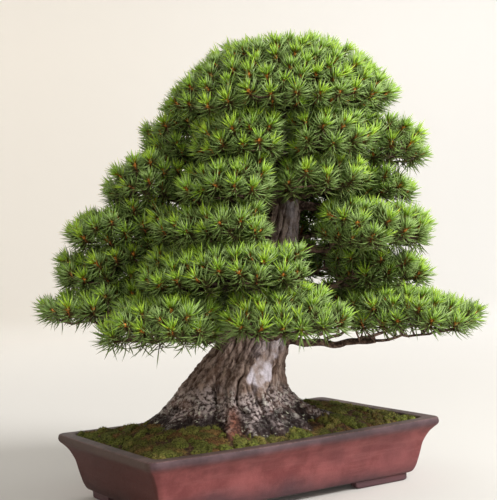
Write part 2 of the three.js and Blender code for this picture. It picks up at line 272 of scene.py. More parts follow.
class Paint:
    # one material, built node by node
    def __init__(self, name, **fixed):
        self.material = bpy.data.materials.new(name)
        self.material.use_nodes = True
        self.tree = self.material.node_tree
        self.surface = self.tree.nodes["Principled BSDF"]
        for key, value in fixed.items():
            self.surface.inputs[key.replace("_", " ")].default_value = value
        self.place = self.node("TexCoord", {}, {}, "Object")

    def node(self, kind, settings, sockets, output=0):
        made = self.tree.nodes.new("ShaderNode" + kind)
        for key, value in settings.items():
            if key == "stops":
                self.setStops(made.color_ramp, value)
            else:
                setattr(made, key, value)
        for key, value in sockets.items():
            self.feed(made.inputs[key], value)
        return Socket(self, made.outputs[output])

    def setStops(self, ramp, stops):
        while len(ramp.elements) < len(stops):
            ramp.elements.new(0.5)
        for element, (place, colour) in zip(ramp.elements, stops):
            element.position = place
            element.color = colour

    def feed(self, socket, value):
        if isinstance(value, Socket):
            self.tree.links.new(value.output, socket)
        else:
            socket.default_value = value

    def mark(self, name):
        return self.node("Attribute", {"attribute_type": "GEOMETRY", "attribute_name": name}, {}, "Fac")

    def own(self, name):
        # the two numbers of the piece's own map
        place = self.node("UVMap", {"uv_map": name}, {})
        return tuple(self.node("SeparateXYZ", {}, {0: place}, k) for k in (0, 1))

    def stretched(self, x, y, z):
        return self.node("Mapping", {}, {"Vector": self.place, "Scale": (x, y, z)})

    def noise(self, scale, detail=3.0, rough=0.55, vector=None):
        sockets = {"Vector": vector or self.place, "Scale": scale, "Detail": detail, "Roughness": rough}
        return self.node("TexNoise", {}, sockets, 0)

    def ramp(self, value, *stops):
        return self.node("ValToRGB", {"stops": stops}, {0: value})

    def blend(self, share, low, high):
        return self.node("Mix", {"data_type": "RGBA"}, {0: share, 6: low, 7: high}, 2)

    def height(self):
        return self.node("SeparateXYZ", {}, {0: self.place}, 2)

    def colour(self, value):
        self.feed(self.surface.inputs["Base Color"], value)

    def roughness(self, value):
        self.feed(self.surface.inputs["Roughness"], value)

    def bump(self, value, distance, strength=1.0):
        lifted = self.node("Bump", {}, {"Height": value, "Distance": distance, "Strength": strength})
        self.feed(self.surface.inputs["Normal"], lifted)


def rgb(red, green, blue):
    # screen colour from 0 to 255, made linear
    screen = np.array([red, green, blue]) / 255
    linear = np.where(screen <= 0.04045, screen / 12.92, ((screen + 0.055) / 1.055) ** 2.4)
    return (*linear.tolist(), 1.0)


potShape = {
    "cornerRadius": 16 * mm,
    "cornerShrink": 0.12,  # how much of its inset a corner's radius loses
    "tightestCorner": 3 * mm,
    # in from the lip's edge, and height, in mm: from the underside up to the rim, and down inside
    "outside": [
        (190, 12), (46, 12), (38, 15), (33, 26), (28, 46), (23.5, 68), (19, 79), (13, 90), (5.5, 98),
        (1.2, 102), (0, 107), (1.6, 115), (25, 115),
    ],
    "inside": [(26.5, 101), (33, 84), (41, 60), (50, 34), (58, 27), (190, 27)],
    # reach of the curve at each of those corners, in mm
    "outsideRounds": [0, 6, 6, 10, 12, 10, 8, 7, 5, 3, 4, 3.6, 3.5],
    "insideRounds": [8, 8, 10, 8, 6, 0],
    "sag": 3.2 * mm,  # of the middle of each long side, from the kiln
    "wobble": 0.5 * mm,
    "wobbleSize": 0.25,
    "rowStep": 5 * mm,  # between the rings of the skin, on long stretches
    "footInset": 43 * mm,
    "footWidth": 18 * mm,
    "footHeight": 12 * mm,
    "footRoot": 3 * mm,  # how far a foot runs up into the body
    "footCorner": 14 * mm,
    "footSquareness": 0.35,  # of its section: 1 is round, and 0 is square
    "footLift": 0.8,  # share of its height by which a foot's underside rises at the ends
    "footLong": 128 * mm,
    "footShort": 84 * mm,
    "footCurve": 9 * mm,  # radius of the curve that ends each foot
    "drainSpacing": 260 * mm,
    "drainRadius": 20 * mm,
    "wireHoleSpacing": (300 * mm, 140 * mm),
    "wireHoleRadius": 4 * mm,
    "drilled": (4 * mm, 40 * mm),  # heights between which the holes are cut
}


def roundedProfile(points, rounds, turns=6):
    # a line of points with each corner cut by a short curve of the given reach
    most = 0.45  # of a side that one curve may take
    points = np.array(points, float) * mm
    made = [points[0]]
    for i in range(1, len(points) - 1):
        before, here, after = points[i - 1 : i + 2]
        back, on = before - here, after - here
        reach = min(rounds[i] * mm, most * np.linalg.norm(back), most * np.linalg.norm(on))
        start, end = here + unit(back) * reach, here + unit(on) * reach
        share = np.linspace(0, 1, turns)[:, None]
        made.extend((1 - share) ** 2 * start + 2 * share * (1 - share) * here + share**2 * end)
    made.append(points[-1])
    return np.array(made)


def finer(profile, step):
    # extra points along the long stretches of a profile
    made = [profile[:1]]
    for low, high in zip(profile[:-1], profile[1:]):
        count = max(int(np.linalg.norm(high - low) / step), 1)
        made.append(low + (high - low) * (np.arange(1, count + 1) / count)[:, None])
    return np.concatenate(made)


def carried(profile, alongSide=90, inCorner=14):
    # a profile of (inset, height) carried round the pot's rounded rectangle: (rows, columns, 3)
    quarter = np.linspace(0, np.pi / 2, inCorner)
    straight = np.arange(1, alongSide) / alongSide
    swing, share, corner = [], [], []
    for k in range(4):
        side = np.full(alongSide - 1, (k + 1) * np.pi / 2)
        swing.append(np.concatenate([quarter + k * np.pi / 2, side]))
        share.append(np.concatenate([np.zeros(inCorner), straight]))
        corner.append(np.full(inCorner + alongSide - 1, k))
    swing, share, corner = (np.concatenate(part) for part in (swing, share, corner))
    signs = np.array([[1, 1], [-1, 1], [-1, -1], [1, -1]])
    inset = profile[:, 0][:, None, None]
    radius = potShape["cornerRadius"] - inset * potShape["cornerShrink"]
    radius = np.maximum(radius, potShape["tightestCorner"])
    radius = np.minimum(radius, potHalf[1] - inset)
    middle = np.maximum(potHalf[:2] - inset - radius, 0)
    turned = np.stack([np.cos(swing), np.sin(swing)], axis=-1)
    here = signs[corner] * middle + radius * turned
    following = signs[(corner + 1) % 4] * middle + radius * turned
    flat = here + (following - here) * share[:, None]
    height = np.broadcast_to(profile[:, 1][:, None, None], flat.shape[:2] + (1,))
    return np.concatenate([flat + potMiddle[:2], height], axis=-1)


def settle(points):
    # the slight sag and wobble of a hand-made, fired pot, which fade out at its feet
    across = (points[..., 0] - potMiddle[0]) / potHalf[0]
    rise = smooth(0.02, 1, points[..., 2] / rimHeight)
    moved = points.copy()
    moved[..., 2] -= potShape["sag"] * np.clip(1 - across**2, 0, 1) * rise
    wobble = potShape["wobble"] * rise * waves(points, potShape["wobbleSize"], 3)
    moved += wobble[..., None] * np.array([1, 1, 0.4])
    return moved


def squarish(value):
    # a circle's sine or cosine, bent towards a square's
    return np.sign(value) * np.abs(value) ** potShape["footSquareness"]


def footRings(signX, signY):
    # one L-shaped foot: a rounded section carried round the corner, its underside curving up at
    # each end
    shape = potShape
    alongArm, inCorner, columns = 34, 12, 24
    radius = shape["footCorner"]
    inset = shape["footInset"] + shape["footWidth"] / 2
    cornerX, cornerY = potHalf[0] - inset, potHalf[1] - inset
    start = np.array([potHalf[0] - shape["footInset"] - shape["footLong"], cornerY])
    stop = np.array([cornerX, potHalf[1] - shape["footInset"] - shape["footShort"]])
    turn = np.linspace(0, np.pi / 2, inCorner)
    arcX = cornerX - radius + radius * np.sin(turn)
    arcY = cornerY - radius + radius * np.cos(turn)
    arc = np.stack([arcX, arcY], -1)
    # the sections stand closer together towards the foot's two ends
    along = np.linspace(0, 1, alongArm)[:, None]
    longArm = start + (arc[0] - start) * along**1.6
    shortArm = arc[-1] + (stop - arc[-1]) * (1 - (1 - along) ** 2)
    line = np.concatenate([longArm, arc[1:-1], shortArm])
    walked = np.concatenate([[0], np.cumsum(np.linalg.norm(np.diff(line, axis=0), axis=1))])
    left = np.minimum(walked, walked[-1] - walked)
    short = np.clip(1 - left / shape["footCurve"], 0, 1)
    under = shape["footHeight"] * (1 - np.sqrt(1 - short**2)) * shape["footLift"]
    top = shape["footHeight"] + shape["footRoot"]
    tangent = unit(np.gradient(line, axis=0))
    outward = np.stack([-tangent[:, 1], tangent[:, 0]], -1)
    swing = (np.arange(columns) + 0.5) * 2 * np.pi / columns
    wide = shape["footWidth"] / 2 * squarish(np.cos(swing))
    level = (1 + squarish(np.sin(swing))) / 2
    flat = line[:, None, :] + outward[:, None, :] * wide[None, :, None]
    height = under[:, None] + (top - under[:, None]) * level
    rings = np.concatenate([flat, height[..., None]], axis=-1)
    rings[..., 0] = potMiddle[0] + signX * rings[..., 0]
    rings[..., 1] = potMiddle[1] + signY * rings[..., 1]
    return rings if signX * signY > 0 else rings[:, ::-1]


def cutter(name, x, y, radius):
    # a round plug for a drain or wire hole
    sides = 32
    swing = np.arange(sides) * 2 * np.pi / sides
    ring = np.stack([x + radius * np.cos(swing), y + radius * np.sin(swing)], -1)
    rings = np.stack([np.column_stack([ring, np.full(sides, z)]) for z in potShape["drilled"]])
    verts, faces = shell(rings)
    return putMesh(name, verts, faces, clayPaint)


def holeCutters():
    # plugs for the two drain holes and the four wire holes
    shape = potShape
    alongPot, acrossPot = shape["wireHoleSpacing"]
    cutters = []
    for sign in (-1, 1):
        x = potMiddle[0] + sign * shape["drainSpacing"] / 2
        cutters.append(cutter("drain", x, potMiddle[1], shape["drainRadius"]))
        for side in (-1, 1):
            wireX = potMiddle[0] + sign * alongPot / 2
            wireY = potMiddle[1] + side * acrossPot / 2
            cutters.append(cutter("wireHole", wireX, wireY, shape["wireHoleRadius"]))
    return cutters


def clayMaterial():
    # unglazed red-brown clay: mottled by the fire, darker and greyer low down, lilac along the lip, and
    # painted shade on the left end
    paint = Paint("clay", Specular_IOR_Level=0.35)
    height = paint.height()
    large = paint.noise(7, 3)
    cloud = paint.noise(22, 4, 0.6)
    fine = paint.noise(260, 3, 0.6)
    grit = paint.noise(900, 2, 0.6)
    wiped = paint.noise(9, 4, 0.65, paint.stretched(1, 1, 9))
    body = paint.blend(cloud.step(0.35, 0.68), rgb(112, 54, 54), rgb(142, 78, 77))
    body = paint.blend(wiped.step(0.45, 0.75) * 0.6, body, rgb(150, 90, 88))
    body = paint.blend(large.step(0.5, 0.72) * 0.5, body, rgb(112, 64, 66))
    # darker and greyer towards the bottom of the pot
    darkenedLowDown = 1 - (height + (large - 0.5) * 0.09).step(0.006, 0.056)
    body = paint.blend(darkenedLowDown * 0.85, body, rgb(70, 52, 58))
    lip = (height + (large - 0.5) * 0.012).step(0.093, 0.107)
    lilac = paint.blend(cloud.step(0.4, 0.7), rgb(62, 48, 52), rgb(88, 69, 74))
    body = paint.blend(lip * 0.92, body, lilac)
    # painted shade: the left end, turned away from the key light, is darkened to a deep red-brown, and
    # its lip to a dark brown
    leftShadeColour = paint.blend(lip, rgb(64, 24, 17), rgb(72, 53, 45))
    body = paint.blend(paint.mark("sooty") * 0.92, body, paint.blend(darkenedLowDown * 0.5, leftShadeColour, rgb(58, 46, 46)))
    top = paint.mark("rimTop")
    body = paint.blend(top, body, paint.blend(cloud.step(0.35, 0.7), rgb(70, 54, 52), rgb(100, 80, 76)))
    body = paint.blend(paint.mark("wear") * fine.step(0.4, 0.65) * 0.3, body, rgb(150, 114, 112))
    body = paint.blend(grit.step(0.66, 0.74) * 0.35, body, rgb(70, 42, 38))
    paint.colour(body)
    paint.roughness(0.62 + (fine - 0.5) * 0.25)
    paint.bump(fine * 0.6 + grit * 0.5 + wiped * 0.8, 0.0012, 0.5)
    return paint.material


clayPaint = clayMaterial()


def makePot():
    # the profile runs from a line along the underside's middle, up outside, over the rim and down
    # inside to a line along the floor's middle
    shape = potShape
    corners = shape["outside"] + shape["inside"]
    rounds = shape["outsideRounds"] + shape["insideRounds"]
    profile = finer(roundedProfile(corners, rounds), shape["rowStep"])
    inset, height = profile.T
    skin = settle(carried(profile))
    # the rim's top and all that lies inside it
    rimTop = smooth(1 * mm, 4 * mm, inset) * smooth(112 * mm, 114.4 * mm, height)
    inner = (np.arange(len(profile)) > np.argmax(rimTop)) * 1.0
    rimTop = np.maximum(rimTop, inner)
    # the rim's outer edge, where the clay wears
    wear = ((np.abs(height - 114.2 * mm) < 1.2 * mm) & (inset < 4.5 * mm)) * 1.0
    # painted shade: the left end, which faces away from the key light, is marked to be darker
    reach = potHalf[:2] - np.abs(skin[..., :2] - potMiddle[:2])
    sooty = smooth(-2 * mm, 5 * mm, reach[..., 1] - reach[..., 0]) * (skin[..., 0] < potMiddle[0])
    sooty = sooty * (1 - rimTop[:, None])
    columns = skin.shape[1]
    marks = {
        "rimTop": np.append(np.repeat(rimTop, columns), [0, 0]),
        "wear": np.append(np.repeat(wear, columns), [0, 0]),
        "sooty": np.append(sooty.reshape(-1), [0, 0]),
    }
    verts, faces = shell(skin)
    pot = putMesh("potBody", verts, faces, clayPaint, marks=marks)
    verts, faces = joined([shell(footRings(x, y)) for x in (-1, 1) for y in (-1, 1)])
    feet = putMesh("potFeet", verts, faces, clayPaint)
    cutters = holeCutters()
    weld(pot)
    for tool in cutters:
        cut = pot.modifiers.new(tool.name, "BOOLEAN")
        cut.operation = "DIFFERENCE"
        cut.object = tool
    applyAll(pot)
    for tool in cutters:
        bpy.data.objects.remove(tool)
    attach(pot, "root")
    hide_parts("pot")
    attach(feet, "root")


def weld(piece):
    # merges vertices that share a place, and drops faces with no area
    form = bmesh.new()
    form.from_mesh(piece.data)
    bmesh.ops.remove_doubles(form, verts=form.verts, dist=1e-6)
    bmesh.ops.dissolve_degenerate(form, edges=form.edges, dist=1e-6)
    form.to_mesh(piece.data)
    form.free()


def applyAll(piece):
    # the piece's modifiers, worked into its mesh
    ready = piece.evaluated_get(bpy.context.evaluated_depsgraph_get())
    mesh = bpy.data.meshes.new_from_object(ready)
    piece.modifiers.clear()
    piece.data = mesh


makePot()
print("pot made")

studio = {
    "floorRadius": 5.5,
    "floorSunk": 0.2 * mm,  # below the feet
    "cove": 2.0,  # radius of the curve between floor and wall
    "wallHeight": 7.0,
    "sides": 96,
    "pale": (254, 253, 251),
    # painted shade: the paper towards the camera's left is given a greyer colour
    "paleLeft": (238, 233, 225),
    "underfoot": (206, 203, 198),  # the same paper, less lit, round the pot
    "glow": 0.2,
    "skyStrength": 0.38,
    "aim": (0, 0, 0.35),  # of the lights
    "lights": [  # name, azimuth round the plant, elevation, distance, size, power in watts
        ("key", 32, 40, 3.4, 1.7, 155),
        ("back", 165, 55, 3.6, 2.4, 30),
    ],
}


def makeStudio():
    # a round floor that curves up into a wall: a profile turned round the upright axis
    sides = studio["sides"]
    swing = np.linspace(0, np.pi / 2, 16)
    out = studio["floorRadius"] + studio["cove"] * np.sin(swing)
    up = studio["cove"] * (1 - np.cos(swing))
    level = np.linspace(0.01, studio["floorRadius"], 24)[:-1]
    wallTop = [[out[-1], studio["wallHeight"]]]
    profile = np.concatenate([np.stack([level, 0 * level], -1), np.stack([out, up], -1), wallTop])
    reach, rise = profile[:, 0, None], profile[:, 1, None]
    turn = np.arange(sides) * 2 * np.pi / sides
    upright = np.repeat(rise, sides, axis=1)
    rings = np.stack([reach * np.cos(turn), reach * np.sin(turn), upright], axis=-1)
    verts = np.concatenate([rings.reshape(-1, 3), [[0, 0, 0]]])
    verts[:, 2] -= studio["floorSunk"]
    quads, _ = ringFaces(len(profile), sides)
    column = np.arange(sides)
    fans = np.stack([np.full(sides, len(profile) * sides), column, (column + 1) % sides], -1)
    # painted shade: the paper is greyer round the pot, and towards the camera's left
    view = math.radians(cameraPlace["azimuth"])
    sideways = verts[:, 0] * math.cos(view) + verts[:, 1] * math.sin(view)
    marks = {
        "away": smooth(0.5, 4.5, np.linalg.norm(verts[:, :2], axis=1)),
        "rightward": smooth(-2.2, 2.2, sideways),
    }
    floor = putMesh("floor", verts, [quads, fans], paperMaterial(), marks=marks)
    world = bpy.data.worlds.new("sky")
    world.use_nodes = True
    sky = world.node_tree.nodes["Background"]
    sky.inputs["Color"].default_value = rgb(255, 253, 250)
    sky.inputs["Strength"].default_value = studio["skyStrength"]
    bpy.context.scene.world = world
    bpy.context.scene.view_settings.view_transform = "Standard"
    for light in studio["lights"]:
        putLight(*light)


def paperMaterial():
    paint = Paint("studioPaper", Roughness=0.9, Specular_IOR_Level=0.1, Emission_Strength=studio["glow"])
    # painted shade: the paper's colour and its glow are greyer round the pot and towards the camera's
    # left
    away = paint.mark("away")
    pale = paint.blend(paint.mark("rightward"), rgb(*studio["paleLeft"]), rgb(*studio["pale"]))
    paint.colour(paint.blend(away, rgb(*studio["underfoot"]), pale))
    paint.feed(paint.surface.inputs["Emission Color"], paint.blend(away, rgb(90, 89, 87), pale))
    return paint.material


def putLight(name, azimuth, elevation, distance, size, power):
    turned, raised = math.radians(azimuth), math.radians(elevation)
    level = math.cos(raised)
    toward = Vector((math.sin(turned) * level, -math.cos(turned) * level, math.sin(raised)))
    data = bpy.data.lights.new(name, "AREA")
    data.shape = "DISK"
    data.size = size
    data.energy = power
    lamp = bpy.data.objects.new(name, data)
    facing = toward.to_track_quat("Z", "Y").to_matrix().to_4x4()
    lamp.matrix_world = Matrix.Translation(Vector(studio["aim"]) + toward * distance) @ facing
    bpy.context.collection.objects.link(lamp)


makeStudio()
print("studio made")

soilShape = {
    # inset and height in mm, from the middle of the pot's floor out and up along its inside
    "side": [(189, 28), (120, 28), (58.8, 28), (51.6, 33.5), (42.2, 60.5), (34.2, 84.5), (29.5, 98)],
    "surface": (27.5, 188, 74),  # first and last inset of the surface's rings in mm, and how many
    "edgeHeight": 105 * mm,  # of the surface at the wall
    "middleHeight": 128 * mm,  # of the surface from the shoulder inwards
    "edgeInset": 27.5 * mm,
    "shoulder": 115 * mm,  # from the wall in to where the mound is full
    "steepness": 0.75,  # of the mound: 1 is an even slope, and less is steeper at the wall
    "granule": 4.2 * mm,
    "granuleLift": 1.6 * mm,
    "sunkEdge": 1.5 * mm,  # of the two rings next to the wall
}
mossShape = {
    "grid": (290, 165),
    "inset": 28.5 * mm,
    "below": 4 * mm,  # of the carpet's underside under the mound's surface
    "thinnest": 1.5 * mm,
    "edgeDrop": 3 * mm,
    "edgeWidth": 9 * mm,
    "thick": 10 * mm,
    "cushion": 25 * mm,
    "lump": 34 * mm,
    "bare": 4 * mm,  # thinner than this, the soil's colour shows through
    "shoots": 26000,
    "shootInset": 31 * mm,
    "shootLength": 5 * mm,
    "shootRadius": 0.55 * mm,
    "shootSunk": 1.2 * mm,  # no shoot grows where the moss is thinner than this
    "shootTones": 48,
}


def moundHeight(x, y):
    # a mound: the height rises from the wall to the trunk with the distance inwards
    shape = soilShape
    inward = np.minimum(potHalf[0] - np.abs(x - potMiddle[0]), potHalf[1] - np.abs(y - potMiddle[1]))
    share = np.clip((inward - shape["edgeInset"]) / shape["shoulder"], 0, 1)
    rise = shape["middleHeight"] - shape["edgeHeight"]
    return shape["edgeHeight"] + rise * share ** shape["steepness"]


def soilMaterial():
    paint = Paint("soilGrains", Roughness=0.95, Specular_IOR_Level=0.2)
    coarse = paint.noise(190, 3, 0.6)
    fine = paint.noise(620, 2, 0.5)
    body = paint.blend(coarse.step(0.4, 0.62), rgb(46, 32, 24), rgb(96, 72, 52))
    body = paint.blend(fine.step(0.58, 0.7) * 0.6, body, rgb(140, 112, 84))
    paint.colour(body)
    paint.bump(coarse + fine * 0.6, 0.002, 0.8)
    return paint.material


def makeSoil():
    # the mound carried in from the wall to a line, with round granules pressed up out of it
    shape = soilShape
    side = np.array(shape["side"]) * mm
    inset = np.linspace(*shape["surface"]) * mm
    surface = np.stack([inset, np.full(len(inset), shape["edgeHeight"])], -1)
    rings = carried(np.concatenate([side, surface]), alongSide=84, inCorner=10)
    top = rings[len(side):]
    top[..., 2] = moundHeight(top[..., 0], top[..., 1])
    u, v = top[..., 0] / shape["granule"], top[..., 1] / shape["granule"]
    away, _, number = cells(u, v, around=997, seed=5)
    granules = shape["granuleLift"] * (1 - away**2) * (0.4 + number)
    top[..., 2] += granules + 0.002 * waves(top, 0.03, 8)
    top[:2, :, 2] -= shape["sunkEdge"]
    verts, faces = shell(rings)
    soil = putMesh("soilMound", verts, faces, soilMaterial())
    weld(soil)
    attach(soil, "root")
    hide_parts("soil")


def mossHeight(x, y):
    # cushions over the mound, thin where the soil shows between them: the height of their tops,
    # their thickness, and a number for each cushion
    spot = np.stack([x, y, x * 0], -1)
    large = waves(spot, 0.085, 21)
    middle = waves(spot, mossShape["lump"], 22, 24)
    small = waves(spot, 0.009, 23, 24)
    size = mossShape["cushion"]
    u, v = x / size + 0.35 * large, y / size + 0.35 * middle
    away, inside, number = cells(u, v, around=91, seed=24)
    puff = np.sqrt(np.clip(1 - away**2 * 1.2, 0, 1)) * smooth(0, 0.22, inside)
    thick = mossShape["thick"] * (0.8 * puff * (0.45 + 0.7 * number) + 0.2 * large + 0.1 * middle)
    thick += 1.1 * mm * small
    return moundHeight(x, y) + thick, thick, number


def mossMaterial():
    # green, yellow-green and brown patches, with fine near-black pits that are painted shade
    paint = Paint("mossGreen", Roughness=0.9, Specular_IOR_Level=0.15)
    patch = paint.noise(16, 3, 0.6)
    drift = paint.noise(42, 3, 0.6)
    speck = paint.noise(330, 3, 0.6)
    fine = paint.noise(1100, 2, 0.5)
    tint = paint.mark("number") + (patch - 0.5) * 0.9
    body = paint.ramp(
        tint,
        (0.0, rgb(120, 82, 54)), (0.22, rgb(142, 108, 64)), (0.38, rgb(102, 94, 50)),
        (0.6, rgb(112, 116, 52)), (0.8, rgb(120, 126, 58)), (1.0, rgb(138, 126, 68)),
    )
    body = paint.blend(drift.step(0.5, 0.66) * 0.5, body, rgb(66, 74, 26))
    body = paint.blend(speck.step(0.56, 0.7) * 0.5, body, rgb(160, 166, 78))
    # painted shade: near-black pits where the fine relief is low
    body = paint.blend((1 - speck).step(0.5, 0.62) * 0.85, body, rgb(30, 32, 14))
    body = paint.blend(1 - paint.mark("thick").step(0.0, 0.5), body, rgb(58, 42, 28))
    paint.colour(body)
    paint.bump(speck + fine * 0.5, 0.0035, 0.9)
    return paint.material


def makeMoss():
    # one closed carpet: an upper and a lower sheet on the same grid, with walls round the edge
    shape = mossShape
    columns, rows = shape["grid"]
    halfX, halfY = potHalf[0] - shape["inset"], potHalf[1] - shape["inset"]
    u, v = np.meshgrid(np.linspace(-1, 1, columns), np.linspace(-1, 1, rows))
    x, y = potMiddle[0] + u * halfX, potMiddle[1] + v * halfY
    height, thick, number = mossHeight(x, y)
    edge = np.minimum(halfX * (1 - np.abs(u)), halfY * (1 - np.abs(v)))
    height -= shape["edgeDrop"] * (1 - smooth(0, shape["edgeWidth"], edge)) ** 2
    low = moundHeight(x, y) - shape["below"]
    height = np.maximum(height, low + shape["thinnest"])
    upper = np.stack([x, y, height], -1).reshape(-1, 3)
    lower = np.stack([x, y, low], -1).reshape(-1, 3)
    row, column = np.meshgrid(np.arange(rows - 1), np.arange(columns - 1), indexing="ij")
    first = row * columns + column
    top = np.stack([first, first + 1, first + columns + 1, first + columns], -1).reshape(-1, 4)
    count = rows * columns
    under = top[:, ::-1] + count
    south, north = np.arange(columns), np.arange(columns) + (rows - 1) * columns
    west, east = np.arange(rows) * columns, np.arange(rows) * columns + columns - 1
    walls = []
    for line, flip in ((south, False), (north, True), (west, True), (east, False)):
        wall = np.stack([line[:-1] + count, line[1:] + count, line[1:], line[:-1]], -1)
        walls.append(wall[:, ::-1] if flip else wall)
    marks = {
        "thick": np.tile(np.clip(thick.reshape(-1) / shape["bare"], 0, 1), 2),
        "number": np.tile(number.reshape(-1), 2),
    }
    faces = [top, under] + walls
    moss = putMesh("mossCarpet", np.concatenate([upper, lower]), faces, mossMaterial(), marks=marks)
    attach(moss, "root")
    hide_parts("moss_front_left", "moss_front_right", "moss_right")


def shootMaterial():
    # painted shade: dark at the foot of each shoot, and its cushion's own tone at the tip
    paint = Paint("mossShoots", Roughness=0.85, Specular_IOR_Level=0.2)
    along, tone = paint.own("OFBake")
    tint = paint.ramp(
        tone,
        (0.0, rgb(138, 126, 72)), (0.2, rgb(118, 124, 60)), (0.42, rgb(102, 112, 52)),
        (0.62, rgb(88, 88, 46)), (0.78, rgb(132, 100, 64)), (1.0, rgb(116, 78, 54)),
    )
    paint.colour(paint.blend(along.step(0.0, 0.8), rgb(34, 34, 16), tint))
    return paint.material


def makeMossShoots():
    # thousands of small leaning three-sided shoots that fur the cushions
    shape = mossShape
    rng = np.random.default_rng(31)
    count = shape["shoots"]
    x = potMiddle[0] + rng.uniform(-1, 1, count) * (potHalf[0] - shape["shootInset"])
    y = potMiddle[1] + rng.uniform(-1, 1, count) * (potHalf[1] - shape["shootInset"])
    height, thick, number = mossHeight(x, y)
    kept = thick > shape["shootSunk"]
    x, y, height, number = x[kept], y[kept], height[kept], number[kept]
    count = len(x)
    base = np.stack([x, y, height - shape["shootSunk"]], -1)
    lean = np.stack([rng.normal(0, 0.4, count), rng.normal(0, 0.4, count), np.ones(count)], -1)
    length = shape["shootLength"] * rng.uniform(0.5, 1.1, count)
    direction = unit(lean)
    side, other = sidesOf(direction)
    swing = np.arange(3) * 2 * np.pi / 3
    radius = shape["shootRadius"] * rng.uniform(0.7, 1.3, count)
    ring = base[:, None] + radius[:, None, None] * (
        side[:, None] * np.cos(swing)[:, None] + other[:, None] * np.sin(swing)[:, None]
    )
    tip = base + direction * length[:, None]
    verts = np.concatenate([ring, tip[:, None]], axis=1).reshape(-1, 3)
    faces = [repeated(np.array([[0, 2, 1], [0, 1, 3], [1, 2, 3], [2, 0, 3]]), count, 4)]
    # the map: along the shoot, and a band of it for each tone
    tones = shape["shootTones"]
    tone = np.clip(1 - number + rng.normal(0, 0.14, count), 0, 0.999)
    tone = (np.floor(tone * tones) + 0.1) / tones
    across = np.array([0, 0.4, 0.8, 0.5]) / tones
    along = np.array([0.0, 0.06, 0.0, 1.0])
    uv = np.stack([np.broadcast_to(along, (count, 4)), tone[:, None] + across], -1).reshape(-1, 2)
    shoots = putMesh("mossFur", verts, faces, shootMaterial(), uv=uv)
    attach(shoots, "root")


makeSoil()
makeMoss()
makeMossShoots()
print("soil and moss made")

trunkShape = {
    "foot": 86 * mm,  # height of the skin's lowest ring
    "soil": 124 * mm,  # height of the soil round the trunk
    "bareTop": 300 * mm,  # below this the skin's rings stand closer together
    "columns": 340,
    # buttress roots: toward in degrees, reach in mm, width in degrees, and height in mm over which
    # each one fades
    "roots": [
        (157, 80, 15, 42), (181, 50, 10, 38), (200, 34, 8, 30), (233, 30, 5, 24), (253, 8, 9, 24),
        (272, 5, 10, 26), (297, 10, 10, 26), (326, 94, 11, 24), (351, 40, 9, 30), (14, 52, 11, 30),
        (45, 38, 10, 28), (75, 50, 11, 30), (104, 40, 10, 28), (133, 46, 10, 32),
    ],
    "redRoot": (233, 5),  # toward and width, in degrees
    "paleBark": (274, 30),  # toward and width of the paler bark high up, in degrees
    "waist": (322, 42, 12 * mm),  # toward, width and depth of the dip over the right-hand root
    "flutes": 7,  # shallow folds round the trunk
    "ridges": 19,  # long upright ridges round the trunk
    "fissureDeep": 7 * mm,
    "jointGap": 22 * mm,  # between the short cracks across a ridge
    "offWall": 36 * mm,  # from the pot's outline in to the nearest root
    "overRim": 12 * mm,  # above this height over the rim, nothing is held in
    "flakeSize": 7 * mm,
    "smoothPlate": (263, 220 * mm, 19, 35 * mm),  # toward, height, half-width in degrees, half-height
    # roots that run on over the soil: toward in degrees, how far out they dive and their radius, in
    # mm, and their bend in degrees
    "surfaceRoots": [
        (154, 212, 15, 8), (176, 190, 12, -10), (322, 200, 15, -7), (344, 196, 12, 8),
        (20, 186, 13, -8), (60, 168, 11, 9), (98, 172, 12, -7), (130, 180, 11, 8),
    ],
    "surfaceRootsFrom": 92 * mm,  # from the trunk's middle line out to where they start
}


def cornersOf(name):
    # the places of a CAD node's vertices
    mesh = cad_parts[name].data
    spots = np.empty(len(mesh.vertices) * 3, dtype=np.float32)
    mesh.vertices.foreach_get("co", spots)
    return spots.reshape(-1, 3).astype(float)


def trunkRings():
    # the CAD trunk's own rings: at each level, the circle that fits its corners best
    fewest = 12
    spots = np.unique(np.round(cornersOf("trunk_and_roots"), 5), axis=0)
    levels, counts = np.unique(np.round(spots[:, 2], 4), return_counts=True)
    found = []
    for level in levels[counts >= fewest]:
        ring = spots[np.abs(spots[:, 2] - level) < 1e-4]
        table = np.column_stack([2 * ring[:, :2], np.ones(len(ring))])
        x, y, rest = np.linalg.lstsq(table, np.sum(ring[:, :2] ** 2, axis=1), rcond=None)[0]
        found.append((level, x, y, math.sqrt(rest + x * x + y * y)))
    return np.array(found)


trunkLevels = trunkRings()
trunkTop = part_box("trunk_and_roots")[1].z
print("trunk rings:", len(trunkLevels))


def alongTrunk(height):
    # the trunk's middle and its radius at any height, by a smooth line through the rings
    z, x, y, radius = trunkLevels.T
    place = np.clip(height, z[0], z[-1])
    i = np.clip(np.searchsorted(z, place) - 1, 0, len(z) - 2)
    span = z[i + 1] - z[i]
    t = (place - z[i]) / span
    made = []
    for values in (x, y, radius):
        slope = np.gradient(values, z)
        made.append(
            values[i] * (1 + 2 * t) * (1 - t) ** 2 + slope[i] * span * t * (1 - t) ** 2
            + values[i + 1] * t * t * (3 - 2 * t) + slope[i + 1] * span * t * t * (t - 1)
        )
    return made


def gapBetween(angle, toward):
    # degrees from one direction to another, from -180 to 180
    return (angle - toward + 180) % 360 - 180


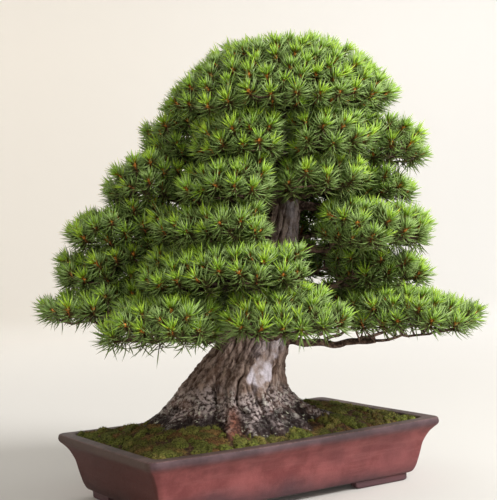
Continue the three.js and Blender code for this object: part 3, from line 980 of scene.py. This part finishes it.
def trunkMaterial():
    # ridged pine bark: brown plates with dark cracks, pale lilac where old bark fell, pale flecks, and
    # near-black painted shade in hollows and gaps, also laid near the soil
    paint = Paint("pineBark", Roughness=0.9, Specular_IOR_Level=0.2)
    tall = paint.stretched(1, 1, 0.35)
    grain = paint.noise(75, 4, 0.65, tall)
    patch = paint.noise(28, 3, 0.6)
    fleck = paint.noise(150, 3, 0.6)
    fine = paint.noise(480, 3, 0.6)
    body = paint.blend(grain.step(0.38, 0.62), rgb(84, 64, 54), rgb(172, 150, 138))
    body = paint.blend(patch.step(0.5, 0.7) * 0.5, body, rgb(146, 118, 102))
    low = 1 - (paint.height() + (patch - 0.5) * 0.08).step(0.165, 0.205)
    ashen = paint.blend(fleck.step(0.41, 0.57), rgb(50, 38, 38), rgb(196, 180, 178))
    body = paint.blend(low * 0.85, body, ashen)
    body = paint.blend(low * patch.step(0.5, 0.6) * 0.4, body, rgb(124, 88, 76))
    smoothBark = paint.blend(patch.step(0.4, 0.56), rgb(172, 156, 152), rgb(224, 216, 226))
    body = paint.blend(paint.mark("plate") * (0.6 + 0.4 * grain.step(0.3, 0.5)), body, smoothBark)
    body = paint.blend(paint.mark("flake") * fleck.step(0.4, 0.54) * 0.85, body, rgb(214, 208, 200))
    body = paint.blend(paint.mark("crack"), body, rgb(42, 28, 22))
    # painted shade in the hollows between roots and the gaps between flakes, and the same near-black
    # darkening near the soil
    body = paint.blend(paint.mark("hollow") * 0.92, body, rgb(34, 24, 24))
    lichen = low * fleck.step(0.6, 0.66) * patch.step(0.44, 0.54)
    body = paint.blend(lichen * 0.7, body, rgb(218, 220, 196))
    body = paint.blend(paint.mark("red") * (0.25 + 0.6 * fleck.step(0.4, 0.6)), body, rgb(152, 96, 76))
    body = paint.blend(fine.step(0.62, 0.75) * 0.35, body, rgb(60, 44, 38))
    paint.colour(body)
    paint.bump(grain + fleck * 0.8 + fine * 0.4, 0.005, 0.85)
    return paint.material


barkPaint = trunkMaterial()


def barkPlates(skin, angle, height, seed, width, length):
    # cracked plates on the trunk's skin; their edges wander with slow waves
    girth = 2 * np.pi * 70 * mm
    around = max(int(round(girth / width)), 3)
    u = (angle / 360) * around + 0.32 * waves(skin, 0.05, seed + 1)
    v = height / length + 0.3 * waves(skin, 0.06, seed + 2)
    return cells(u, v, around, seed)


def insidePot(points):
    # low points that would reach the pot's wall are kept inside it
    reach = potHalf[:2] - trunkShape["offWall"]
    held = potMiddle[:2] + np.clip(points[..., :2] - potMiddle[:2], -reach, reach)
    low = (points[..., 2] < rimHeight + trunkShape["overRim"])[..., None]
    return np.concatenate([np.where(low, held, points[..., :2]), points[..., 2:]], axis=-1)


def makeSurfaceRoots():
    # roots that leave the buttresses, run over the soil and dive into it: bent lines that fall with
    # distance, as tubes with knotty skins
    shape = trunkShape
    rows, columns = 46, 22
    toward, reach, thick, bend = (column[:, None] for column in np.array(shape["surfaceRoots"], float).T)
    x, y, _ = alongTrunk(np.array(shape["soil"]))
    t = np.linspace(0, 1, rows)
    angle = np.radians(toward + bend * np.sin(t * 4.2 + toward) * t)
    out = mix(shape["surfaceRootsFrom"], reach * mm, t)
    rise = mix(16 * mm, -2 * mm, smooth(0, 0.75, t))
    fall = shape["soil"] + rise - 26 * mm * smooth(0.62, 1.05, t)
    paths = np.stack([x + out * np.cos(angle), y + out * np.sin(angle), fall + 0 * out], -1)
    paths = insidePot(wobbly(paths, 2.5 * mm, 0.05, 140))
    radii = thick * mm * mix(1.15, 0.42, t)
    radii = radii * (1 + 0.14 * waves(paths, 0.018, 145))
    verts, faces = limbs(paths, radii, columns)
    centre = np.repeat(paths.reshape(-1, 3), columns, axis=0).reshape(len(paths), -1, 3)
    centre = np.concatenate([centre, paths[:, [0, -1]]], axis=1).reshape(-1, 3)
    outward = unit(verts - centre + 1e-9)
    knots = 1.3 * mm * waves(verts, 0.009, 147, 24) + 0.6 * mm * waves(verts, 0.004, 148, 24)
    verts = verts + outward * knots[:, None]
    low = 1 - smooth(-2 * mm, 8 * mm, verts[:, 2] - moundHeight(verts[:, 0], verts[:, 1]))
    marks = {
        "crack": 0.5 * smooth(0.2, 1.0, waves(verts, 0.007, 150)),
        "plate": 0 * low,
        "flake": 0 * low,
        # the bark's near-black darkening: a little all over the roots, and more where they meet the soil
        "hollow": 0.3 + 0.6 * low,
        "red": 0.3 * smooth(-0.2, 0.8, waves(verts, 0.05, 149)),
    }
    piece = putMesh("surfaceRoots", verts, faces, barkPaint, marks=marks)
    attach(piece, "root")


def buttresses(turned, height):
    # bell curves round the trunk that fade upwards and turn a little as they rise: how far the skin
    # stands out, and how far each place lies in a hollow between two roots
    shape = trunkShape
    above = np.maximum(height - (shape["soil"] - 14 * mm), 0)
    flare = np.zeros_like(height)
    ridge = np.zeros_like(height)
    for toward, reach, width, fade in shape["roots"]:
        drift = 4 * np.sin(height / (38 * mm) + toward)
        root = bell(gapBetween(turned, toward + drift), width * (1 + above / 0.16))
        flare += reach * mm * root * np.exp(-above / (fade * mm))
        ridge = np.maximum(ridge, root)
    return flare, (1 - ridge) ** 1.2 * bell(above, 34 * mm)


def fissuresOn(skin, swing, height):
    # fissures run upright where a wave round the trunk crosses zero, swayed by slow hills; a finer
    # set splits the ridges again, and short cracks run across them
    ridges = trunkShape["ridges"]
    tall = skin * np.array([1, 1, 0.4])
    sway = 1.5 * waves(skin * np.array([1, 1, 0.6]), 0.11, 51) + 0.5 * waves(skin, 0.035, 52)
    wave = np.abs(np.sin(swing * ridges / 2 + sway))
    gate = smooth(-0.9, 0.5, waves(tall, 0.05, 53))
    fissure = (1 - smooth(0.0, 0.42, wave)) * mix(0.35, 1, gate)
    fine = np.abs(np.sin(swing * ridges * 1.5 + 1.7 * sway + 1.2 * waves(skin, 0.03, 54)))
    split = (1 - smooth(0.0, 0.5, fine)) * smooth(-0.2, 0.7, waves(tall, 0.035, 55))
    rise = height * np.pi / trunkShape["jointGap"]
    across = np.abs(np.sin(rise + 2.2 * sway + waves(skin, 0.02, 56)))
    joint = (1 - smooth(0.0, 0.35, across)) * smooth(0.0, 0.8, waves(skin, 0.03, 57))
    return wave, fissure, split, joint


def makeTrunk():
    # the fitted trunk's skin, moved out by roots and folds and in by fissures, cracks and hollows
    shape = trunkShape
    lowZ = np.linspace(shape["foot"], shape["bareTop"], 190)[:-1]
    z = np.concatenate([lowZ, np.linspace(shape["bareTop"], trunkTop, 90)])
    angle = np.arange(shape["columns"]) * 360 / shape["columns"]
    height, turned = np.meshgrid(z, angle, indexing="ij")
    x, y, radius = alongTrunk(height)
    swing = np.radians(turned)
    around = np.stack([np.cos(swing), np.sin(swing)], -1)
    skin = np.stack([x + radius * around[..., 0], y + radius * around[..., 1], height], -1)
    flare, hollow = buttresses(turned, height)
    folds = np.cos(swing * shape["flutes"] + 3 * waves(skin, 0.3, 41))
    flutes = 0.05 * radius * folds * smooth(0.13, 0.19, height)
    wave, fissure, split, joint = fissuresOn(skin, swing, height)
    size = shape["flakeSize"]
    _, flakeEdge, flakeNumber = barkPlates(skin, turned, height, 61, size, size * 1.2)
    flakes = smooth(0.0, 0.3, flakeEdge) * (flakeNumber - 0.3)
    lower = 1 - smooth(150 * mm, 205 * mm, height + 0.014 * waves(skin, 0.05, 62))
    # one smooth plate, where old bark fell
    toward, level, halfWidth, halfHeight = shape["smoothPlate"]
    plain = (gapBetween(turned, toward) / halfWidth) ** 2 + ((height - level) / halfHeight) ** 2
    plain = 1 - smooth(0.5, 1.2, plain + 0.45 * waves(skin, 0.028, 71))
    rough = mix(1.0, 0.25, plain)
    deep = 1.25 * shape["fissureDeep"] * mix(1, 0.35, smooth(0.25, 0.5, height)) * (1 - 0.35 * lower)
    toward, width, depth = shape["waist"]
    waist = depth * bell(gapBetween(turned, toward), width) * bell(height - 0.185, 0.04)
    moved = flare - 15 * mm * hollow + flutes - waist
    moved -= deep * fissure * mix(1, 0.5, plain) + deep * 0.4 * split * rough
    moved += deep * 0.35 * smooth(0.2, 1.0, wave) * rough
    moved -= 2.2 * mm * joint * rough
    moved += flakes * (4.2 * mm * lower + 1.5 * mm * (1 - lower) * rough)
    moved += 1.3 * mm * waves(skin * np.array([1, 1, 0.5]), 0.012, 81) * rough
    moved += 0.7 * mm * waves(skin * np.array([1, 1, 0.7]), 0.0055, 82, 30) * rough
    moved *= smooth(0, 8 * mm, trunkTop - height) * 0.9 + 0.1
    skin[..., :2] += around * moved[..., None]
    skin = insidePot(skin)
    verts, faces = shell(skin)
    toward, width = shape["redRoot"]
    red = bell(gapBetween(turned, toward), width) * (1 - smooth(150 * mm, 176 * mm, height))
    toward, width = shape["paleBark"]
    upper = smooth(235 * mm, 262 * mm, height) * bell(gapBetween(turned, toward), width)
    crack = np.clip(fissure**1.5 + (0.55 * split + 0.6 * joint) * rough, 0, 1)
    # painted shade in the gaps between the lower flakes, and a darkening near the soil
    flakeGapShade = lower * (1 - smooth(0.0, 0.16, flakeEdge)) * 0.6
    aboveSoil = height - 0.012 * waves(skin, 0.03, 91) - moundHeight(skin[..., 0], skin[..., 1])
    darkNearSoil = 0.85 * (1 - smooth(10 * mm, 38 * mm, aboveSoil))
    marks = {
        "crack": crack * (1 - 0.35 * lower) * 0.92,
        "plate": np.clip(np.maximum(plain * 0.9, upper * 0.5) * (1 - fissure), 0, 1),
        # painted shade in the hollows between roots and the flake gaps, and darker near the soil
        "hollow": np.clip(1.5 * hollow + flakeGapShade + darkNearSoil, 0, 1),
        "flake": lower * smooth(0.68, 0.78, flakeNumber) * smooth(0.05, 0.2, flakeEdge) * (1 - hollow),
        "red": red,
    }
    marks = {key: np.append(values.reshape(-1), [0, 0]) for key, values in marks.items()}
    trunk = putMesh("trunkBark", verts, faces, barkPaint, marks=marks)
    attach(trunk, "root")
    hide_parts("trunk_and_roots")


makeTrunk()
makeSurfaceRoots()
print("trunk made")

tuftShape = {
    "spacing": 26.5 * mm,  # between the middles of neighbouring tufts
    "sunkSide": 11 * mm,  # of a tuft's base inside the pad's outline
    "sunkTop": 13 * mm,
    # the share by which a pad swells above its lower quarter, which closes the steps between tiers
    "swell": {
        "crown": 0.2, "tier1_left": 1.0, "tier1_right": 0.2, "tier2_left": 1.0, "tier3_left": 0.6,
        "tier4_left": 1.1, "tier4_front_left": 0.6, "tier5_left": 1.0, "tier5_right": 0.9,
        "tier5_front": 0.6, "tier5_front_left": 0.6,
    },
    "otherSwell": 0.4,
    "backSwell": 0.0,
    "swellFrom": 0.25,  # share of a pad's height at which its swelling starts
    # from a pad's underside up to its lowest tufts
    "clear": {"crown": -8 * mm, "tier1_left": 19 * mm, "tier1_right": 27 * mm, "tier1_front": 24 * mm},
    "otherClear": 4 * mm,
    "crownSkirt": 20 * mm,  # the crown's lowest tufts stand farther out, and hang
    "crownHang": 16 * mm,
    "roll": 6 * mm,
    "upward": 0.68,  # how strongly a tuft turns up
    "samples": 6000,  # places on a pad from which its tufts are picked
    "innerSpacing": 31 * mm,
    "innerSunk": 30 * mm,
    "innerRaised": 1.2,  # their clearance, as a multiple of the outer tufts' one
    "backInnerSpacing": 1.2,  # at the back, as a multiple of the inner spacing
    "backSpacing": 30 * mm,  # the wide pads at the back: wider spaced tufts that stand farther out
    "backSunk": 1 * mm,
}
# this year's, last year's and the hidden inner needles: how many, how far they open from the
# tuft's axis in degrees, where on the shoot they sit, their length and radius in mm, their colour
# from 0 to 1, how far they droop, and how much the colour varies between shoots and needles; a
# pair is for the innermost and the outermost needle
needleKinds = {
    "new": {
        "count": 19, "lean": (3, 42), "seat": (3, 9), "length": (18, 25), "radius": 1.4,
        "tone": (0.58, 0.84), "droop": -0.06, "shoots": 0.12, "needles": 0.05,
    },
    "old": {
        "count": 45, "lean": (34, 102), "seat": (6, -8), "length": (24, 32), "radius": 1.16,
        "tone": (0.46, 0.16), "droop": -0.1, "shoots": 0.05, "needles": 0.12,
    },
    "inner": {
        "count": 29, "lean": (15, 120), "seat": (12, -12), "length": (24, 32), "radius": 1.1,
        "tone": (0.16, 0.0), "droop": 0.0, "shoots": 0.03, "needles": 0.04,
    },
}
needleTones = 64  # bands of colour across the needles' map
goldenAngle = 2.39996  # turn from one needle to the next
# a needle has three corners round its base, three round its middle and one at its tip
needleFaces = np.array([
    [0, 2, 1], [0, 1, 4], [0, 4, 3], [1, 2, 5], [1, 5, 4], [2, 0, 3], [2, 3, 5],
    [3, 4, 6], [4, 5, 6], [5, 3, 6],
])
# the rings of a bud sheath, in mm: place along the shoot, and radius
budRings = [(-8, 1.2), (0, 1.7), (4, 2.9), (8, 2.7), (12, 0.8)]
prefix = "foliage_"
places = [name.removeprefix(prefix) for name in sorted(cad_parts) if name.startswith(prefix)]


def needleMaterial():
    # colour by the needle's own age, across the map, and by the place along it
    paint = Paint("pineNeedles", Roughness=0.5, Specular_IOR_Level=0.4)
    along, tone = paint.own("OFBake")
    blade = paint.ramp(
        tone,
        (0.0, rgb(98, 114, 52)), (0.2, rgb(114, 140, 70)), (0.38, rgb(130, 158, 84)),
        (0.5, rgb(150, 174, 104)), (0.6, rgb(124, 160, 54)), (0.76, rgb(140, 178, 42)),
        (0.9, rgb(160, 192, 48)), (0.92, rgb(190, 118, 48)), (1.0, rgb(224, 150, 66)),
    )
    sheath = paint.ramp(
        tone,
        (0.0, rgb(70, 58, 34)), (0.5, rgb(124, 102, 54)), (0.62, rgb(190, 128, 48)),
        (0.8, rgb(222, 134, 40)), (0.9, rgb(236, 148, 44)), (0.93, rgb(150, 92, 50)),
        (1.0, rgb(176, 110, 56)),
    )
    tipped = paint.blend(along.step(0.7, 1.0) * 0.2, blade, rgb(180, 194, 96))
    paint.colour(paint.blend(along.step(0.08, 0.44), sheath, tipped))
    return paint.material


def padSurface(place):
    # the corners of a CAD pad's triangles
    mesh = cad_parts[prefix + place].data
    mesh.calc_loop_triangles()
    corners = np.empty(len(mesh.loop_triangles) * 3, dtype=np.int32)
    mesh.loop_triangles.foreach_get("vertices", corners)
    return cornersOf(prefix + place)[corners.reshape(-1, 3)]


def sampled(triangles, low, rng):
    # random places on the triangles, but for the underside's, and the outward direction at each
    first, second = triangles[:, 1] - triangles[:, 0], triangles[:, 2] - triangles[:, 0]
    normal = np.cross(first, second)
    area = np.linalg.norm(normal, axis=1) / 2
    weight = area * (triangles[..., 2].max(axis=1) > low + 1 * mm)
    count = tuftShape["samples"]
    pick = rng.choice(len(triangles), count, p=weight / weight.sum())
    share = rng.random((count, 2))
    share = np.where(share.sum(1, keepdims=True) > 1, 1 - share, share)
    points = triangles[pick, 0] + first[pick] * share[:, :1] + second[pick] * share[:, 1:]
    return points, unit(normal)[pick]


def spread(points, spacing, rng):
    # picks points no nearer to each other than the spacing, farthest first
    chosen = [int(rng.integers(len(points)))]
    away = np.linalg.norm(points - points[chosen[0]], axis=1)
    while away.max() > spacing:
        chosen.append(int(np.argmax(away)))
        away = np.minimum(away, np.linalg.norm(points - points[chosen[-1]], axis=1))
    return np.array(chosen)


def sunkInside(place, points, normal, low, rng):
    # the inner tufts' places: through the lower half of the pad
    shape = tuftShape
    points[:, :2] -= normal[:, :2] * shape["innerSunk"]
    points[:, 2] = low + 4 * mm + (points[:, 2] - low) * rng.uniform(0.1, 0.62, len(points))
    clear = shape["clear"].get(place, 0) * shape["innerRaised"]
    points[:, 2] = np.maximum(points[:, 2], low + clear)
    return points


def swollen(place, points, normal, low, high):
    # the outer tufts' places: the crown has a skirt, pads swell upwards, and outlines roll
    shape = tuftShape
    points = points - normal * (shape["backSunk"] if place.endswith("_back") else shape["sunkSide"])
    points[:, 2] -= shape["sunkTop"] * np.maximum(normal[:, 2], 0)
    if place == "crown":
        skirt = 1 - smooth(low, (low + high) / 2, points[:, 2])
        points[:, :2] += normal[:, :2] * (shape["crownSkirt"] * skirt)[:, None]
        points[:, 2] -= shape["crownHang"] * skirt
    points[:, 2] = np.maximum(points[:, 2], low + shape["clear"].get(place, shape["otherClear"]))
    swell = shape["swell"].get(place, shape["otherSwell"])
    if place.endswith("_back"):
        swell = shape["backSwell"]
    points[:, 2] += np.maximum(points[:, 2] - mix(low, high, shape["swellFrom"]), 0) * swell
    points[:, 2] += shape["roll"] * waves(points * np.array([1, 1, 0.2]), 0.12, 77)
    return points


def tuftsOn(place, inner, rng):
    # places and directions of a pad's tufts, which lean up and out, and the height of its underside
    shape = tuftShape
    triangles = padSurface(place)
    low, high = triangles[..., 2].min(), triangles[..., 2].max()
    points, normal = sampled(triangles, low, rng)
    atBack = place.endswith("_back")
    if inner:
        points = sunkInside(place, points, normal, low, rng)
        spacing = shape["innerSpacing"] * (shape["backInnerSpacing"] if atBack else 1)
    else:
        points = swollen(place, points, normal, low, high)
        spacing = shape["backSpacing"] if atBack else shape["spacing"]
    chosen = spread(points, spacing, rng)
    points, normal = points[chosen], normal[chosen]
    x, y, _ = alongTrunk(points[:, 2])
    outward = unit(np.stack([points[:, 0] - x, points[:, 1] - y, np.zeros(len(points))], -1))
    turned = normal * np.array([0.5, 0.5, 0.2]) + outward * 0.3 + rng.normal(0, 0.16, points.shape)
    axis = unit(turned + np.array([0, 0, 1.0]) * shape["upward"])
    return points, axis, low


def needlesOf(points, axis, kind, rng):
    # every needle of every tuft: its angle from the shoot, its seat along it, its length and its
    # tone run evenly between two ends, and its tip bends a little; vertices, faces and map
    owners, count = len(points), kind["count"]
    share = (np.arange(count) + rng.random((owners, count))) / count
    vigour = rng.uniform(0.86, 1.12, (owners, 1))
    lean = np.radians(mix(*kind["lean"], share**0.8)) + rng.normal(0, 0.12, share.shape)
    turn = rng.uniform(0, 6.28, (owners, 1))
    swing = np.arange(count) * goldenAngle + turn + rng.normal(0, 0.25, share.shape)
    length = mix(*kind["length"], share) * mm * vigour * rng.uniform(0.8, 1.1, share.shape)
    side, other = sidesOf(axis)
    axis, side, other = axis[:, None], side[:, None], other[:, None]
    radial = side * np.cos(swing)[..., None] + other * np.sin(swing)[..., None]
    direction = axis * np.cos(lean)[..., None] + radial * np.sin(lean)[..., None]
    seat = mix(*kind["seat"], share) * mm + rng.normal(0, 1.5 * mm, share.shape)
    start = points[:, None] + axis * seat[..., None] + direction * 1.2 * mm
    bend = axis * (0.08 - kind["droop"]) + rng.normal(0, 0.04, direction.shape)
    middle = start + direction * (length * 0.5)[..., None]
    tip = start + direction * length[..., None] + bend * length[..., None]
    flat = direction.reshape(-1, 3)
    across, over = sidesOf(flat)
    corner = rng.uniform(0, 2.1, len(flat))[:, None] + np.arange(3) * 2 * np.pi / 3
    reach = across[:, None] * np.cos(corner)[..., None] + over[:, None] * np.sin(corner)[..., None]
    thick = kind["radius"] * mm * rng.uniform(0.85, 1.15, len(flat))[:, None, None]
    base = start.reshape(-1, 1, 3) + reach * thick * 0.75
    waist = middle.reshape(-1, 1, 3) + reach * thick
    verts = np.concatenate([base, waist, tip.reshape(-1, 1, 3)], axis=1)
    tone = mix(*kind["tone"], share) + rng.normal(0, kind["shoots"], (owners, 1))
    tone += rng.normal(0, kind["needles"], share.shape)
    tone = np.floor(np.clip(tone, 0, 0.89) * needleTones).reshape(-1, 1)
    v = (tone + np.array([0.1, 0.5, 0.9, 0.1, 0.5, 0.9, 0.5])) / needleTones
    u = np.broadcast_to([0, 0.03, 0, 0.5, 0.5, 0.5, 1.0], v.shape)
    faces = repeated(needleFaces, len(flat), 7)
    return verts.reshape(-1, 3), faces, np.stack([u, v], -1).reshape(-1, 2)


def budsOf(points, axis, rng):
    # the papery sheath at each tuft's heart: a five-sided spindle
    sides = 5
    along, radius = np.array(budRings).T * mm
    paths = points[:, None] + axis[:, None] * along[:, None]
    radii = np.broadcast_to(radius, (len(points), len(radius)))
    verts, (quads, fans) = limbs(paths, radii, sides)
    tone = np.floor(rng.uniform(0.93, 0.999, len(points)) * needleTones)
    level = np.repeat(np.array([0.0, 0.03, 0.5, 0.75, 0.9]), sides)
    u = np.concatenate([level, [0.01, 1.0]])
    band = np.concatenate([np.tile([0.1, 0.3, 0.5, 0.7, 0.9], len(radius)), [0.5, 0.5]])
    v = (tone[:, None] + band) / needleTones
    uv = np.stack([np.broadcast_to(u, v.shape), v], -1).reshape(-1, 2)
    return verts, np.concatenate([quads[:, [0, 1, 2]], quads[:, [0, 2, 3]], fans]), uv


needlePaint = needleMaterial()
tufts = {}


def makeFoliage():
    for number, place in enumerate(places):
        rng = np.random.default_rng(500 + number)
        points, axis, low = tuftsOn(place, False, rng)
        inside, insideAxis, _ = tuftsOn(place, True, rng)
        tufts[place] = (points, axis, low)
        parts = [
            needlesOf(points, axis, needleKinds["new"], rng),
            needlesOf(points, axis, needleKinds["old"], rng),
            needlesOf(inside, insideAxis, needleKinds["inner"], rng),
            budsOf(points, axis, rng),
        ]
        shift = np.cumsum([0] + [len(part[0]) for part in parts])
        verts = np.concatenate([part[0] for part in parts])
        uv = np.concatenate([part[2] for part in parts])
        faces = [part[1] + start for part, start in zip(parts, shift)]
        piece = putMesh("needles_" + place, verts, faces, needlePaint, uv=uv)
        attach(piece, "root")
        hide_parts(prefix + place)


makeFoliage()
print("foliage made:", sum(len(points) for points, _, _ in tufts.values()), "tufts")

branchShape = {
    "limbColumns": 18,
    "limbRows": 60,
    "limbRadius": (11, 5),  # at the trunk and at the tip, in mm
    "leaderRadius": (14, 4),  # of the trunk's own end, up through the crown
    "leaderPast": 50 * mm,  # of its tip over the trunk's top
    "boughs": 0.28,  # boughs for each tuft
    "boughRadius": 4.2 * mm,
    "boughRows": 16,
    "boughSides": 8,
    "twigRadius": 1.7 * mm,
    "twigRows": 8,
    "twigSides": 5,
    "bow": 9 * mm,  # a limb rises a little before it levels out
    "bowEnd": 0.8,
}


def branchMaterial():
    paint = Paint("branchBark", Roughness=0.9, Specular_IOR_Level=0.2)
    coarse = paint.noise(90, 3, 0.6)
    fine = paint.noise(360, 3, 0.6)
    body = paint.blend(coarse.step(0.38, 0.64), rgb(64, 48, 42), rgb(128, 104, 90))
    body = paint.blend(fine.step(0.58, 0.7) * 0.6, body, rgb(158, 138, 124))
    body = paint.blend((1 - fine).step(0.58, 0.7) * 0.6, body, rgb(40, 28, 24))
    paint.colour(body)
    paint.bump(coarse + fine * 0.6, 0.002, 0.7)
    return paint.material


def limbLine(name):
    # the middle line of a CAD branch: the middles of its corners near the trunk, half-way and at
    # its tip, on a smooth curve that starts inside the trunk and bows upwards
    spots = cornersOf(name)
    x, y, _ = alongTrunk(spots[:, 2])
    out = np.hypot(spots[:, 0] - x, spots[:, 1] - y)
    order = np.argsort(out)
    part = max(len(order) // 10, 8)
    near, far = spots[order[:part]].mean(0), spots[order[-part:]].mean(0)
    half = len(order) // 2
    centre = spots[order[half - part // 2 : half + part // 2]].mean(0)
    t = np.linspace(-0.06, 1, branchShape["limbRows"])[:, None]
    line = near * (1 - t) * (1 - 2 * t) + centre * 4 * t * (1 - t) + far * t * (2 * t - 1)
    line[:, 2] += branchShape["bow"] * np.sin(np.pi * np.clip(t[:, 0] / branchShape["bowEnd"], 0, 1))
    return line


def leaderLine(low):
    # the trunk's own end, up through the crown
    top = trunkTop + branchShape["leaderPast"]
    height = np.linspace(low - 10 * mm, top, branchShape["limbRows"])
    x, y, _ = alongTrunk(height)
    return np.stack([x, y, height], -1)


def limbOf(line, thick):
    # a limb along a line, with a knotty skin
    radius = np.linspace(*thick, len(line)) * mm
    verts, faces = limbs(line[None], radius[None], branchShape["limbColumns"])
    knots = 1.1 * mm * waves(verts, 0.009, 19, 30)[:, None]
    return verts + knots * unit(verts - verts.mean(0)), faces


def boughPaths(line, roots, low, rng):
    # boughs from the limb's line to places spread through the lower part of the pad
    shape = branchShape
    count = max(int(len(roots) * shape["boughs"]), 3)
    apart = np.ptp(roots[:, :2]) / math.sqrt(count) * 0.75
    ends = roots[spread(roots, apart, rng)]
    ends[:, 2] = np.minimum(ends[:, 2], low + 0.35 * (ends[:, 2] - low)) + 3 * mm
    nearest = np.argmin(np.linalg.norm(line[None] - ends[:, None], axis=2), axis=1)
    begin = np.clip((nearest * 0.8).astype(int), len(line) // 3, len(line) - 1)
    paths = curved(line[begin], ends, rng.uniform(-6, 2, len(ends)) * mm, shape["boughRows"])
    paths[:, 1:-1] = wobbly(paths[:, 1:-1], 2 * mm, 0.03, 29)
    return paths


def twigPaths(boughs, roots, rng):
    # a twig to each tuft from the nearest place on a bough that isn't far above it
    shape = branchShape
    stems = boughs[:, 3:].reshape(-1, 3)
    away = np.linalg.norm(stems[None] - roots[:, None], axis=2)
    away += 2 * np.maximum(stems[None, :, 2] - roots[:, None, 2], 0)
    start = stems[np.argmin(away, axis=1)]
    return curved(start, roots, -rng.uniform(0, 4, len(roots)) * mm, shape["twigRows"])


def curved(start, end, rise, rows):
    # lines from start to end, lifted between them by the rise: a curve with one control point
    t = np.linspace(0, 1, rows)[None, :, None]
    control = (start * 0.45 + end * 0.55) + np.array([0, 0, 1.0]) * rise[:, None]
    return (1 - t) ** 2 * start[:, None] + 2 * t * (1 - t) * control[:, None] + t * t * end[:, None]


def makeBranches():
    # one piece of wood under each pad: its limb, the boughs on it and a twig to every outer tuft
    shape = branchShape
    paint = branchMaterial()
    for number, place in enumerate(places):
        rng = np.random.default_rng(900 + number)
        points, axis, low = tufts[place]
        branch = "branch_" + place
        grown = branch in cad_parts
        line = wobbly(limbLine(branch) if grown else leaderLine(low), 2.5 * mm, 0.06, 17)
        limb = limbOf(line, shape["limbRadius"] if grown else shape["leaderRadius"])
        roots = points - axis * 5 * mm
        boughs = boughPaths(line, roots, low, rng)
        taper = np.linspace(1, 0.5, shape["boughRows"]) * shape["boughRadius"]
        boughRadii = taper * rng.uniform(0.8, 1.2, (len(boughs), 1))
        twigs = twigPaths(boughs, roots, rng)
        taper = np.linspace(1.1, 0.9, shape["twigRows"]) * shape["twigRadius"]
        twigRadii = taper * np.ones((len(roots), 1))
        verts, faces = joined([
            limb,
            limbs(boughs, boughRadii, shape["boughSides"]),
            limbs(twigs, twigRadii, shape["twigSides"]),
        ])
        piece = putMesh("wood_" + place, verts, faces, paint)
        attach(piece, "root")
        if grown:
            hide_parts(branch)


makeBranches()
print("branches made")


def makeFittings():
    net = Paint("screenPlastic", Roughness=0.45)
    fine = net.noise(500, 2, 0.5)
    net.colour(net.blend(fine.step(0.4, 0.6), rgb(30, 34, 34), rgb(52, 56, 56)))
    net.bump(fine, 0.0005, 0.5)
    wire = Paint("wireAluminium", Metallic=1.0)
    drawn = wire.noise(700, 2, 0.5)
    wire.colour(wire.blend(drawn.step(0.35, 0.65), rgb(168, 164, 160), rgb(206, 202, 198)))
    wire.roughness(0.3 + drawn * 0.25)
    wire.bump(drawn, 0.0004, 0.4)
    for name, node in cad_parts.items():
        if name.startswith("drain_screen"):
            dress(node, net.material)
        if name.startswith("screen_wire"):
            dress(node, wire.material)


def dress(node, material):
    if node.material_slots:
        for slot in node.material_slots:
            slot.material = material
    else:
        node.data.materials.append(material)


makeFittings()
print("fittings dressed")
